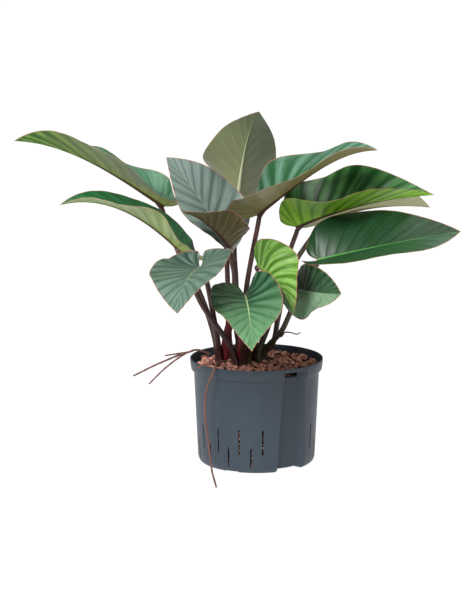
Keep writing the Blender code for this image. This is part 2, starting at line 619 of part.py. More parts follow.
def half_normals(leaf, hand, s, t):
    """Upper-face directions of a blade half, from its slopes, drawn to the rib's own near the tip."""
    t = np.maximum(t, 0.06)
    s_low, s_high = np.clip(s - 0.004, 0.02, 0.96), np.clip(s + 0.004, 0.03, 0.97)
    along_s = blade_half(leaf, hand, s_high, t) - blade_half(leaf, hand, s_low, t)
    along_t = blade_half(leaf, hand, s, np.minimum(t + 0.02, 1)) - blade_half(leaf, hand, s, t - 0.02)
    normal = np.cross(along_s, along_t) * hand
    normal /= np.linalg.norm(normal, axis=-1)[..., None]
    rib, _ = flat_blade(leaf, s, 0 * s)
    _, margin = flat_blade(leaf, s, 0 * s + 1)
    _, _, _, up = rib_frames(leaf, rib)
    narrow = np.clip(1 - margin / NARROW, 0, 1)[..., None]
    normal = normal * (1 - narrow) + up * narrow
    return normal / np.linalg.norm(normal, axis=-1)[..., None]


def make_blade(name, leaf, finish):
    """One blade: two faces split into triangles alike, an edge between them, and the midrib below."""
    rows = np.linspace(FIRST_ROW, LAST_ROW, LENGTH_ROWS)
    s, t = np.meshgrid(rows, COLUMNS, indexing="ij")
    rib, _ = flat_blade(leaf, rows, 0 * rows)
    edge_along, edge_across = flat_blade(leaf, rows, 0 * rows + 1)
    t[:, 1] = np.minimum(RIDGE_HALF_WIDTH / np.hypot(edge_along - rib, edge_across), 0.25)
    tip, _, _, tip_up = rib_frames(leaf, np.array([leaf.length]))
    _, _, _, rib_up = rib_frames(leaf, rib)
    ridge = RIDGE * (1 - 0.9 * rib / leaf.length)
    half = BLADE / 2
    points = [tip[0] + tip_up[0] * half, tip[0] - tip_up[0] * half]
    poles = {"top": 0, "under": 1}
    faces = []
    width = len(COLUMNS)
    for hand in (1, -1):
        middle = blade_half(leaf, hand, s, t)
        normal = half_normals(leaf, hand, s, t)
        normal[:, 0] = rib_up
        grids = {}
        for face, sign in (("top", 1), ("under", -1)):
            shift = np.full(s.shape, half)
            shift[:, 0] = half + 0.0002 + (0 if face == "top" else ridge)
            grid = len(points) + np.arange(s.size).reshape(s.shape)
            grids[face] = grid
            points += list((middle + normal * (sign * shift)[..., None]).reshape(-1, 3))
            triangles = []
            for i in range(LENGTH_ROWS - 1):
                for j in range(width - 1):
                    a, b, c, d = grid[i, j], grid[i + 1, j], grid[i + 1, j + 1], grid[i, j + 1]
                    triangles += [(a, b, c), (a, c, d)]
            triangles += [(poles[face], grid[-1, j + 1], grid[-1, j]) for j in range(width - 1)]
            flip = (hand > 0) == (face == "top")
            faces += [tri[::-1] if flip else tri for tri in triangles]
        top, under = grids["top"], grids["under"]
        upper = [*top[0], *top[1:, -1], poles["top"]]
        lower = [*under[0], *under[1:, -1], poles["under"]]
        for k in range(len(upper) - 1):
            quad = (upper[k], upper[k + 1], lower[k + 1], lower[k])
            faces.append(quad if hand > 0 else quad[::-1])
    faces = [tuple(int(k) for k in face) for face in faces]
    return add_mesh(name, points, faces, finish, 60)


def stalk_start(leaf):
    """Where a stalk leaves its crown's top."""
    x, y = CROWNS[leaf.crown]
    bearing = math.radians(leaf.bearing)
    return (x + STALK_RING * math.cos(bearing), y + STALK_RING * math.sin(bearing), CROWN_TOP + GAP)


def make_stalk(name, leaf):
    """A stalk from its crown along its route, ending just under the first of the midrib."""
    centre, forward, _, up = rib_frames(leaf, np.array([0.0, 0.012]))
    drop = RIDGE + BLADE + STALK_TOP
    end = centre[1] - up[1] * drop
    before_end = centre[0] - up[0] * (drop + 0.003) - forward[0] * 0.006
    foot = np.array(stalk_start(leaf))
    first = np.array(leaf.route[0]) - foot
    lean = foot + np.array([first[0] * 0.05, first[1] * 0.05, 0.012])
    path = smooth_path([foot, lean, *leaf.route, before_end, end], STALK_RINGS)
    share = np.linspace(0, 1, len(path))
    radii = STALK_BASE + (STALK_TOP - STALK_BASE) * share ** 0.8
    return tube(name, path, radii, STALK_SIDES, STALK_FINISH, upright=True)


def make_sheath(name, foot, tip, half_width, finish):
    """A flat spindle: widest a third of the way up, drawn out to a point."""
    low = np.array([foot[0], foot[1], CROWN_TOP + GAP])
    share = np.linspace(0, 1, 8)
    bulge = np.sin(np.pi * (0.22 + 0.78 * share)) ** 0.8
    path = low + (np.array(tip) - low) * share[:, None]
    radii = np.maximum(half_width * bulge, 0.0006)
    return tube(name, path, radii, 8, finish, upright=True, flatness=SHEATH_FLATNESS)


def make_root(name, route, radius, branches=()):
    """A round root along its points, thinner at the tip, with its branches fused on."""
    path = smooth_path(route, 3 * len(route) // 2)
    radii = radius * (1 - 0.4 * np.linspace(0, 1, len(path)))
    root = tube(name, path, radii, 6, ROOT_FINISH)
    limbs = []
    for branch in branches:
        path = smooth_path(branch, 2 * len(branch))
        limb_radii = 0.7 * radius * (1 - 0.4 * np.linspace(0, 1, len(path)))
        limbs.append(tube(name + "_limb", path, limb_radii, 6, ROOT_FINISH))
    if limbs:
        combine(root, limbs, "UNION", "MANIFOLD")
    return root


make_pot()
make_bed()
for crown_name, crown_place in CROWNS.items():
    make_crown(crown_name, crown_place)
for leaf_name, shape in LEAVES.items():
    make_blade("leaf_" + leaf_name, shape, YOUNG_FINISH if leaf_name == "young" else LEAF_FINISH)
    make_stalk("stalk_" + leaf_name, shape)
for sheath_name, (sheath_foot, sheath_tip, sheath_width) in SHEATHS.items():
    dried = sheath_name == "sheath_dried"
    make_sheath(sheath_name, sheath_foot, sheath_tip, sheath_width, DRIED_FINISH if dried else SHEATH_FINISH)
make_root("root_hanging", HANGING_ROOT, ROOT_RADIUS)
make_root("root_side", SIDE_ROOT, ROOT_RADIUS, SIDE_ROOT_BRANCHES)
make_root("root_rim", RIM_ROOT, ROOT_RADIUS * 0.9)
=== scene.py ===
from collections import namedtuple

import bpy
import bmesh
import numpy as np
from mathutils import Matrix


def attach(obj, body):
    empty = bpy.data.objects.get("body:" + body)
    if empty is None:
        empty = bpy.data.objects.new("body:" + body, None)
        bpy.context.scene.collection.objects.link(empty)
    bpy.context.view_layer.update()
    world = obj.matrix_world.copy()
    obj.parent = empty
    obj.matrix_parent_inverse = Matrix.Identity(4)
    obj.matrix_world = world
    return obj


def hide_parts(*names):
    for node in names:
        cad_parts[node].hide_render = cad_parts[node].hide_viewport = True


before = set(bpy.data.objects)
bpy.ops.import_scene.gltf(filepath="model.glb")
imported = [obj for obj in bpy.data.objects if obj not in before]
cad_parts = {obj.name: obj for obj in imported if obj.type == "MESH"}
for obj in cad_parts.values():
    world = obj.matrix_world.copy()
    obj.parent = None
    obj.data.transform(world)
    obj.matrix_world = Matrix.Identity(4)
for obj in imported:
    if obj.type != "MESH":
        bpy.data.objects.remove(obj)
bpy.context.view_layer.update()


# Camera, floor and lights
# The photograph was taken a little from above and from about four metres, on plain white. The lights
# are large and soft: a strong one high at the front left, a weak one low at the front right and one
# above. The floor glows, so that it stays white under the pot, and the background is plain white.
CAMERA_PLACE = (-0.0342, -4.0, 1.05)
CAMERA_TILT = 79.3
CAMERA_LENS = 136.44
FLOOR_RADIUS = 1.6
FLOOR_SIDES = 96
FLOOR_TONE = 0.12
FLOOR_GLOW = 0.96
ROOM_LIGHT = 0.28
BACKGROUND_LIGHT = 1.05
LAMPS = (
    ("key_lamp", (-1.7, -2.9, 2.9), 1.5, 240),
    ("fill_lamp", (2.6, -2.8, 1.2), 2.4, 20),
    ("top_lamp", (0.3, 0.3, 3.6), 2.6, 60),
)
LAMP_TARGET = (0.0, 0.0, 0.35)


def add_node(tree, kind, inputs, **settings):
    """A shader node. inputs gives each input, by number or name, a constant or another node's output."""
    made = tree.nodes.new("ShaderNode" + kind)
    for name, value in settings.items():
        setattr(made, name, value)
    for key, value in inputs.items():
        if isinstance(value, bpy.types.NodeSocket):
            tree.links.new(value, made.inputs[key])
        else:
            made.inputs[key].default_value = value
    return made


def new_material(name, roughness):
    """A material with its node tree and its Principled shader."""
    material = bpy.data.materials.new(name)
    material.use_nodes = True
    shader = material.node_tree.nodes["Principled BSDF"]
    shader.inputs["Roughness"].default_value = roughness
    return material, material.node_tree, shader


def aim(thing, target):
    """Turns a lamp to face a point."""
    direction = np.array(target) - np.array(thing.location)
    away = np.hypot(direction[0], direction[1])
    heading = np.arctan2(direction[1], direction[0])
    thing.rotation_euler = (np.arctan2(away, -direction[2]), 0, heading - np.pi / 2)


lens = bpy.data.cameras.new("camera")
lens.lens = CAMERA_LENS
lens.sensor_width = 36
lens.clip_end = 50
camera = bpy.data.objects.new("camera", lens)
camera.location = CAMERA_PLACE
camera.rotation_euler = (np.radians(CAMERA_TILT), 0, 0)
bpy.context.scene.collection.objects.link(camera)
bpy.context.scene.camera = camera

for lamp_name, lamp_place, lamp_size, lamp_power in LAMPS:
    lamp = bpy.data.lights.new(lamp_name, "AREA")
    lamp.size = lamp_size
    lamp.energy = lamp_power
    lamp_object = bpy.data.objects.new(lamp_name, lamp)
    lamp_object.location = lamp_place
    aim(lamp_object, LAMP_TARGET)
    bpy.context.scene.collection.objects.link(lamp_object)

room = bpy.data.worlds.new("room")
room.use_nodes = True
seen = add_node(room.node_tree, "LightPath", {}).outputs["Is Camera Ray"]
strengths = {0: seen, 1: 0.0, 2: 1.0, 3: ROOM_LIGHT, 4: BACKGROUND_LIGHT}
strength = add_node(room.node_tree, "MapRange", strengths).outputs[0]
room.node_tree.links.new(strength, room.node_tree.nodes["Background"].inputs["Strength"])
room.node_tree.nodes["Background"].inputs["Color"].default_value = (1, 1, 1, 1)
bpy.context.scene.world = room
bpy.context.scene.view_settings.view_transform = "Standard"

floor_mesh = bpy.data.meshes.new("floor")
floor_angles = np.arange(FLOOR_SIDES) * 2 * np.pi / FLOOR_SIDES
floor_edge = FLOOR_RADIUS * np.stack([np.cos(floor_angles), np.sin(floor_angles), 0 * floor_angles], -1)
floor_mesh.from_pydata(floor_edge.tolist(), [], [tuple(range(FLOOR_SIDES))])
floor = bpy.data.objects.new("floor", floor_mesh)
floor_paint, _, floor_shader = new_material("floor_paint", 0.9)
floor_shader.inputs["Base Color"].default_value = (FLOOR_TONE, FLOOR_TONE, FLOOR_TONE, 1)
floor_shader.inputs["Emission Color"].default_value = (1, 1, 1, 1)
floor_shader.inputs["Emission Strength"].default_value = FLOOR_GLOW
floor_shader.inputs["Specular IOR Level"].default_value = 0
floor_mesh.materials.append(floor_paint)
bpy.context.scene.collection.objects.link(floor)


# Pot
# A shell of slate-blue plastic moulded in one piece: a tapered wall with a rim band, a gauge channel
# with an opening under the lip, two rows of drain slits and a notched foot ring. The channel's floor
# is painted a little darker than the wall: painted shade in the recess.
POT_HEIGHT = 0.190
RIM_RADIUS = 0.1195
RIM_STEP = 0.0047
BAND_BASE = 0.170
BODY_RADIUS = 0.1128
BASE_RADIUS = 0.105
WALL = 0.0025
FLOOR_TOP = 0.006
FOOT_RADIUS = 0.030
FOOT_RECESS = 0.003
RING_INNER = 0.088
RING_OUTER = 0.094
FOOT_EDGE = 0.010
INNER_FLOOR_RADIUS = 0.0935
INNER_WALL_BASE = (0.1032, 0.014)
CHANNEL_ANGLE = 36.8
CHANNEL_TOP_WIDTH = 25.0
CHANNEL_BASE_WIDTH = 34.0
CHANNEL_DEPTH = 0.009
CHANNEL_TOP = 0.183
WINDOW_Z = (0.1705, 0.1825)
CHANNEL_SILL = 0.0062
SLIT_STEP = 22.45
SLIT_WIDTH = 0.003
SLITS_PER_SIDE = 7
UPPER_SLIT_Z = (0.034, 0.080)
LOWER_SLIT_Z = (0.011, 0.047)
SLIT_MIDDLE = 0.045
FIRST_RIGHT_SLIT = 62.9
FIRST_LEFT_SLIT = 365.6
NOTCH_STEP = 53.4
NOTCH_WIDTH = 0.028
NOTCH_HEIGHT = 0.0022
EDGE_ROUNDING = 0.0008


def colour(code):
    """The linear colour of a #rrggbb code, as a shader wants it."""
    parts = np.array([int(code[k:k + 2], 16) for k in (1, 3, 5)]) / 255
    linear = np.where(parts < 0.04045, parts / 12.92, ((parts + 0.055) / 1.055) ** 2.4)
    return (*(float(part) for part in linear), 1.0)


def mix(tree, share, first, second):
    """The colour between two, by a share."""
    return add_node(tree, "Mix", {0: share, 6: first, 7: second}, data_type="RGBA").outputs[2]


def work(tree, operation, first, second=0.0):
    """One arithmetic step on two numbers."""
    return add_node(tree, "Math", {0: first, 1: second}, operation=operation).outputs[0]


def ramp(tree, value, low, high, start=0.0, end=1.0):
    """A smooth step from start to end as a value goes from low to high."""
    steps = {0: value, 1: low, 2: high, 3: start, 4: end}
    return add_node(tree, "MapRange", steps, interpolation_type="SMOOTHSTEP").outputs[0]


def noise(tree, vector, scale, detail=3.0, roughness=0.5):
    """A noise value from 0 to 1."""
    inputs = {"Vector": vector, "Scale": scale, "Detail": detail, "Roughness": roughness}
    return add_node(tree, "TexNoise", inputs).outputs["Fac"]


def bump(tree, shader, height, distance, strength=1.0):
    """A bump of a real height in metres on a shader."""
    inputs = {"Height": height, "Distance": distance, "Strength": strength}
    tree.links.new(add_node(tree, "Bump", inputs).outputs["Normal"], shader.inputs["Normal"])


def grid_faces(rows, columns, around=False):
    """Corner numbers of the cells of a grid of points kept row by row."""
    numbers = np.arange(rows * columns).reshape(rows, columns)
    if around:
        numbers = np.hstack([numbers, numbers[:, :1]])
    corners = (numbers[:-1, :-1], numbers[:-1, 1:], numbers[1:, 1:], numbers[1:, :-1])
    return np.stack(corners, -1).reshape(-1, 4)


def add_piece(name, points, faces, materials, stands_for, marks=None, face_slots=None, sharp=40):
    """A smooth, closed mesh that rides on the body, stands for CAD nodes and keeps a vector for each
    point under each name in marks. Points closer than a thousandth of a millimetre are merged, and
    the faces are turned outwards. face_slots gives each face the number of its material."""
    mesh = bpy.data.meshes.new(name)
    mesh.from_pydata(np.asarray(points).reshape(-1, 3).tolist(), [], faces)
    for mark, values in (marks or {}).items():
        layer = mesh.attributes.new(mark, "FLOAT_VECTOR", "POINT")
        layer.data.foreach_set("vector", np.asarray(values, np.float32).ravel())
    if face_slots is not None:
        mesh.polygons.foreach_set("material_index", face_slots)
    shape = bmesh.new()
    shape.from_mesh(mesh)
    bmesh.ops.remove_doubles(shape, verts=shape.verts, dist=0.000001)
    bmesh.ops.dissolve_degenerate(shape, edges=shape.edges, dist=0.0000005)
    bmesh.ops.recalc_face_normals(shape, faces=shape.faces)
    if shape.calc_volume(signed=True) < 0:
        bmesh.ops.reverse_faces(shape, faces=shape.faces)
    shape.to_mesh(mesh)
    shape.free()
    mesh.shade_smooth()
    mesh.set_sharp_from_angle(angle=np.radians(sharp))
    for material in materials:
        mesh.materials.append(material)
    piece = bpy.data.objects.new(name, mesh)
    bpy.context.scene.collection.objects.link(piece)
    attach(piece, "root")
    if stands_for:
        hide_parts(*stands_for)
    return piece


def wall_radius(height):
    """The outer radius of the tapered wall at a height."""
    return BASE_RADIUS + (BODY_RADIUS - BASE_RADIUS) * height / BAND_BASE


def pot_columns(heights, inset):
    """The angle of each column at each height, in degrees from the front, and how deep each column
    lies in the channel, from 0 to 1, or below 0 in the bead along the channel's left edge. Channel
    columns widen downwards and with the inset."""
    across = np.array([-1.14, -1.04, -1.0, -0.99, -0.965, -0.94, -0.93, -0.92, -0.88,
                       -0.2, 0.50, 0.54, 0.58, 0.775, 0.95, 0.99, 1.02, 1.06])
    depth = np.array([0, -0.10, -0.04, 0.2, 0.5, 0.8, 0.92, 0.98, 1,
                      1, 1, 0.985, 0.93, 0.5, 0.08, 0.02, 0.005, 0])
    up_the_wall = np.clip(heights / BAND_BASE, 0, 1)
    width = CHANNEL_BASE_WIDTH + (CHANNEL_TOP_WIDTH - CHANNEL_BASE_WIDTH) * up_the_wall
    half = width / 2 + np.degrees(inset / BODY_RADIUS)
    channel = CHANNEL_ANGLE + half[:, None] * across
    half_slit = np.degrees(SLIT_WIDTH / 2 / wall_radius(SLIT_MIDDLE))
    steps = SLIT_STEP / 2 * np.arange(2 * SLITS_PER_SIDE - 1)
    slits = np.concatenate([FIRST_RIGHT_SLIT + steps, (FIRST_LEFT_SLIT - steps)[::-1]])
    gaps = np.diff(slits) - 2 * half_slit
    between = slits[:-1, None] + half_slit + gaps[:, None] * np.array([0.25, 0.5, 0.75])
    fixed = np.sort(np.concatenate([slits - half_slit, slits + half_slit, between.ravel()]))
    half_notch = np.degrees(NOTCH_WIDTH / 2 / BASE_RADIUS)
    middles = NOTCH_STEP * (np.arange(-3, 3) + 0.5)[:, None]
    notches = (middles + half_notch * np.array([-1.04, -0.96, 0.96, 1.04])).ravel() % 360
    clear = np.abs(notches[:, None] - fixed).min(1) > 0.25
    inside = (notches > fixed[0]) & (notches < fixed[-1])
    fixed = np.sort(np.concatenate([fixed, notches[clear & inside]]))
    share = np.array([0.25, 0.5, 0.75])
    after = channel[:, -1:] + (fixed[0] - channel[:, -1:]) * share
    before = fixed[-1] + (channel[:, :1] + 360 - fixed[-1]) * share
    angles = np.hstack([channel, after, np.tile(fixed, (len(heights), 1)), before])
    depths = np.concatenate([depth, np.zeros(angles.shape[1] - len(depth))])
    return angles, depths, slits, half_slit


def pot_rows(profile, inset, channelled):
    """Points of a part of the pot's skin: a profile of (radius, height) turned about the upright axis,
    drawn in by the channel, with the foot ring raised where its notches are."""
    radius, height = np.array(profile).T
    angles, depths, _, _ = pot_columns(height, inset)
    floor_of_channel = np.minimum(wall_radius(height), BODY_RADIUS) - CHANNEL_DEPTH - inset
    drawn_in = np.clip(radius - floor_of_channel, 0, None) * channelled
    reach = radius[:, None] - drawn_in[:, None] * depths
    half_notch = np.degrees(NOTCH_WIDTH / 2 / BASE_RADIUS)
    wrapped = (angles + 180) % 360 - 180
    from_notch = np.abs(wrapped % NOTCH_STEP - NOTCH_STEP / 2)
    notch = np.clip((half_notch * 1.04 - from_notch) / (half_notch * 0.08), 0, 1)
    notch = notch * (np.abs(wrapped) < 3 * NOTCH_STEP)
    under_ring = (radius > RING_INNER - 0.002)[:, None]
    lifted = np.maximum(height[:, None], notch * NOTCH_HEIGHT * under_ring * (inset == 0))
    sill = (CHANNEL_SILL + inset) * np.clip(depths * 1.6, 0, 1)
    lifted = np.maximum(lifted, sill * under_ring * channelled)
    turn = np.radians(angles - 90)
    return np.stack([reach * np.cos(turn), reach * np.sin(turn), lifted], -1)


def rounded(corners, rounding, steps=3):
    """An open profile with an arc of a few points in place of each inner corner, as a curve of degree
    two between points set back from the corner by the rounding."""
    corners = np.array(corners, float)
    out = [corners[:1]]
    for before, corner, after in zip(corners, corners[1:], corners[2:]):
        back, on = before - corner, after - corner
        back_length, on_length = np.hypot(*back), np.hypot(*on)
        start = corner + back * min(rounding / back_length, 0.45)
        end = corner + on * min(rounding / on_length, 0.45)
        t = np.linspace(0, 1, steps)[:, None]
        out.append(start * (1 - t) ** 2 + 2 * corner * t * (1 - t) + end * t ** 2)
    out.append(corners[-1:])
    return np.vstack(out)


slit_rows = np.array([0.011, 0.0225, 0.034, 0.0405, 0.047, 0.0635, 0.080])
edge_arc = np.radians(np.linspace(15, 90, 6))
foot_profile = [(0.0004, 0), (FOOT_RADIUS - 0.0006, 0), (FOOT_RADIUS + 0.0006, 0.0004),
                (FOOT_RADIUS + 0.003, FOOT_RECESS), (RING_INNER - 0.003, FOOT_RECESS),
                (RING_INNER - 0.0005, 0.0004), (RING_INNER, 0), (RING_OUTER, 0)]
foot_profile += [(BASE_RADIUS - FOOT_EDGE * (1 - np.sin(a)), FOOT_EDGE * (1 - np.cos(a))) for a in edge_arc]
outer_wall = [(wall_radius(z), z) for z in slit_rows]
upper_wall = [(wall_radius(z), z) for z in (0.100, 0.120, 0.140, 0.156)]
band = rounded([(wall_radius(0.160), 0.160), (BODY_RADIUS, BAND_BASE), (BODY_RADIUS + RIM_STEP, BAND_BASE),
                (BODY_RADIUS + RIM_STEP + 0.0006, 0.174)], EDGE_ROUNDING)
window_rows = [(RIM_RADIUS - 0.0007, 0.178), (RIM_RADIUS - 0.0003, WINDOW_Z[1]),
               (RIM_RADIUS - 0.0002, CHANNEL_TOP)]
lip = rounded([(RIM_RADIUS - 0.0002, CHANNEL_TOP + 0.0001), (RIM_RADIUS, POT_HEIGHT),
               (RIM_RADIUS - WALL, POT_HEIGHT), (RIM_RADIUS - WALL - 0.0005, CHANNEL_TOP + WALL)],
              0.0011, 4)
inner_ledge = [(RIM_RADIUS - WALL - 0.0005, CHANNEL_TOP + WALL - 0.0001),
               (RIM_RADIUS - WALL - 0.0006, WINDOW_Z[1]), (RIM_RADIUS - WALL - 0.0008, 0.178),
               (BODY_RADIUS + RIM_STEP - WALL, BAND_BASE + 0.004), (BODY_RADIUS - WALL, BAND_BASE + 0.0025),
               (BODY_RADIUS - WALL - 0.0001, 0.1695)]
inner_slope = (BODY_RADIUS - WALL - INNER_WALL_BASE[0]) / (BAND_BASE + 0.0025 - INNER_WALL_BASE[1])
inner_heights = np.concatenate([[0.156, 0.140, 0.120, 0.100], slit_rows[::-1]])
inner_wall = [(INNER_WALL_BASE[0] + inner_slope * (z - INNER_WALL_BASE[1]), z) for z in inner_heights]
inner_floor = [(0.1018, 0.0083), (0.0985, 0.0066), (INNER_FLOOR_RADIUS, FLOOR_TOP), (0.0004, FLOOR_TOP)]
skins = (
    (foot_profile + outer_wall + upper_wall + [tuple(p) for p in band] + window_rows, 0.0, 1.0),
    ([tuple(p) for p in lip], 0.0, 0.0),
    (inner_ledge + inner_wall + inner_floor, WALL, 1.0),
)
pot_points = np.vstack([pot_rows(*skin) for skin in skins])
row_count, column_count = pot_points.shape[:2]
outside_count = len(skins[0][0])
first_slit_row = len(foot_profile)
last_inner_slit_row = row_count - len(inner_floor) - 1
middle_row, channel_depths, slit_angles, slit_half = pot_columns(np.array([SLIT_MIDDLE]), 0.0)
middle_row_angles = middle_row[0]


def slit_ends(number):
    """The lower and upper end of a slit. Long ones stand high and low by turns, from both sides."""
    return LOWER_SLIT_Z if number % (2 * SLITS_PER_SIDE - 1) % 2 else UPPER_SLIT_Z


kept = np.ones((row_count - 1, column_count), bool)
tunnels = []
for number, slit_angle in enumerate(slit_angles):
    sides = slit_angle + slit_half * np.array([-1, 1])
    left, right = (int(np.argmin(np.abs(middle_row_angles - side))) for side in sides)
    low, high = slit_ends(number)
    bottom, top = (int(np.argmin(np.abs(slit_rows - z))) for z in (low, high))
    outer = first_slit_row + np.arange(bottom, top + 1)
    inner = last_inner_slit_row - np.arange(bottom, top + 1)
    tunnels.append((left, right, outer, inner))
window_columns = (8, 10)
window_outer = np.arange(outside_count - 5, outside_count - 1)
window_inner = outside_count + len(lip) + np.array([4, 3, 2, 1])
tunnels.append((*window_columns, window_outer, window_inner))
tunnel_faces = []
for left, right, outer, inner in tunnels:
    kept[outer[:-1], left:right] = False
    kept[inner[1:], left:right] = False
    for side, turned in ((left, True), (right, False)):
        a, b = outer[:-1] * column_count + side, outer[1:] * column_count + side
        c, d = inner[1:] * column_count + side, inner[:-1] * column_count + side
        quads = np.stack([a, b, c, d], -1)
        tunnel_faces += (quads[:, ::-1] if turned else quads).tolist()
    across = np.arange(left, right)
    for k, turned in ((0, False), (-1, True)):
        a, b = outer[k] * column_count + across, outer[k] * column_count + across + 1
        c, d = inner[k] * column_count + across + 1, inner[k] * column_count + across
        quads = np.stack([a, b, c, d], -1)
        tunnel_faces += (quads[:, ::-1] if turned else quads).tolist()
cells = grid_faces(row_count, column_count, around=True).reshape(row_count - 1, column_count, 4)
pot_faces = np.vstack([cells[kept], tunnel_faces])
in_use = np.unique(pot_faces)
first_ring = np.arange(column_count)
rings_at_ends = (first_ring[::-1], first_ring + (row_count - 1) * column_count)
pot_faces = np.searchsorted(in_use, pot_faces).tolist()
pot_faces += [np.searchsorted(in_use, ring).tolist() for ring in rings_at_ends]

pot_plastic, tree, shader = new_material("pot_plastic", 0.4)
place = add_node(tree, "TexCoord", {}).outputs["Object"]
clouds = noise(tree, place, 60, 5)
tone = mix(tree, ramp(tree, clouds, 0.2, 0.8), colour("#27343f"), colour("#2c3945"))
# Painted shade: the plastic is darkened by how deep a point lies in the channel, in place of the shade in
# the recess.
painted_channel_shade = add_node(tree, "Attribute", {}, attribute_name="painted_channel_shade").outputs["Vector"]
channel_shade_share = add_node(tree, "SeparateXYZ", {0: painted_channel_shade}).outputs["X"]
tone = mix(tree, ramp(tree, channel_shade_share, 0.3, 1.0, 0.0, 0.50), tone, colour("#182634"))
height_of_point = add_node(tree, "SeparateXYZ", {0: place}).outputs["Z"]
scuffs = ramp(tree, noise(tree, place, 240, 6, 0.7), 0.60, 0.72)
near_lip = ramp(tree, height_of_point, 0.1865, POT_HEIGHT)
near_foot = ramp(tree, height_of_point, FLOOR_TOP, 0.0)
near_edges = work(tree, "MULTIPLY", work(tree, "MAXIMUM", near_lip, near_foot), 0.5)
tone = mix(tree, work(tree, "MULTIPLY", scuffs, near_edges), tone, colour("#7d8890"))
tree.links.new(tone, shader.inputs["Base Color"])
tree.links.new(ramp(tree, clouds, 0.25, 0.75, 0.44, 0.50), shader.inputs["Roughness"])
bump(tree, shader, noise(tree, place, 1400, 2), 0.00012, 0.5)
channel_shade_marks = np.zeros(pot_points.shape)
channel_shade_marks[:outside_count, :, 0] = channel_depths
add_piece("pot_shell", pot_points.reshape(-1, 3)[in_use], pot_faces, [pot_plastic],
          ["pot"], {"painted_channel_shade": channel_shade_marks.reshape(-1, 3)[in_use]}, sharp=38)


# Crowns
# Three short stems, waisted between the scars of old leaves, stand among the granules and carry the
# stalks. They are brown, fibrous and almost hidden.
CROWN_TOP = 0.1802
CROWNS = {"left": (-0.058, 0.022), "front": (-0.027, -0.010), "right": (0.004, 0.022)}

crown_skin, tree, shader = new_material("crown_skin", 0.8)
place = add_node(tree, "TexCoord", {}).outputs["Object"]
fibres = add_node(tree, "Mapping", {"Vector": place, "Scale": (1, 1, 0.12)}).outputs[0]
strands = noise(tree, fibres, 900, 4, 0.6)
layers = add_node(tree, "Mapping", {"Vector": place, "Scale": (0.05, 0.05, 1)}).outputs[0]
rings = noise(tree, layers, 260, 2)
tone = mix(tree, ramp(tree, strands, 0.3, 0.7), colour("#3a2218"), colour("#6d4a33"))
tone = mix(tree, ramp(tree, rings, 0.45, 0.62, 0.0, 0.7), tone, colour("#2a1712"))
tree.links.new(tone, shader.inputs["Base Color"])
bump(tree, shader, work(tree, "ADD", strands, rings), 0.0012, 0.8)
for crown_name in CROWNS:
    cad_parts["crown_" + crown_name].material_slots[0].material = crown_skin


# Leaf stalks
# Thirteen fleshy stalks, round with a shallow groove along the upper side, maroon with darker and
# paler streaks. Each is wider where it clasps its crown, keeps straight until just under its blade,
# and runs on into the midrib.
STALK_RING = 0.0119
STALK_BASE = 0.0049
STALK_TOP = 0.0039
STALK_FLESH = 1.14
YOUNG_FLESH = 0.80
STALK_END = 0.0010
END_TAPER = 0.012
NECK = 0.010
RIB_REACH = 0.014
JOINT_DEPTH = 0.0046
RIB_DEPTH = 0.0024
CLASP = 0.25
CLASP_HEIGHT = 0.012
GROOVE_DEPTH = 0.10
GROOVE_WIDTH = 0.45
GAP = 0.0004
STALK_SIDES = 18
STALK_RINGS = 90
VEINS_FROM_BASE = 0.2
BASE_POWER = 0.5
SINUS_SHARE = 0.28
VEIN_POWER = 1.5
VEIN_BOW = 0.35

# A blade half: fold angles at four stations from base to tip, fold added at the end of the basal
# lobe, curl from rib to margin at base and tip, upward bend of the lobe, all in degrees, then the
# height of the margin's wave as a share of the half width and the wave's phase in degrees
Side = namedtuple("Side", "folds lobe_fold curl lobe_bend wave phase")

# A leaf: where the stalk meets the blade, the heading and climb of its rib in degrees, how far the
# rib droops to the tip and how late, its sideways swing, its roll and twist, then the blade's sizes
Leaf = namedtuple("Leaf", "joint heading climb droop bow swing roll twist "
                  "length half_width lobe taper left right crown bearing route")

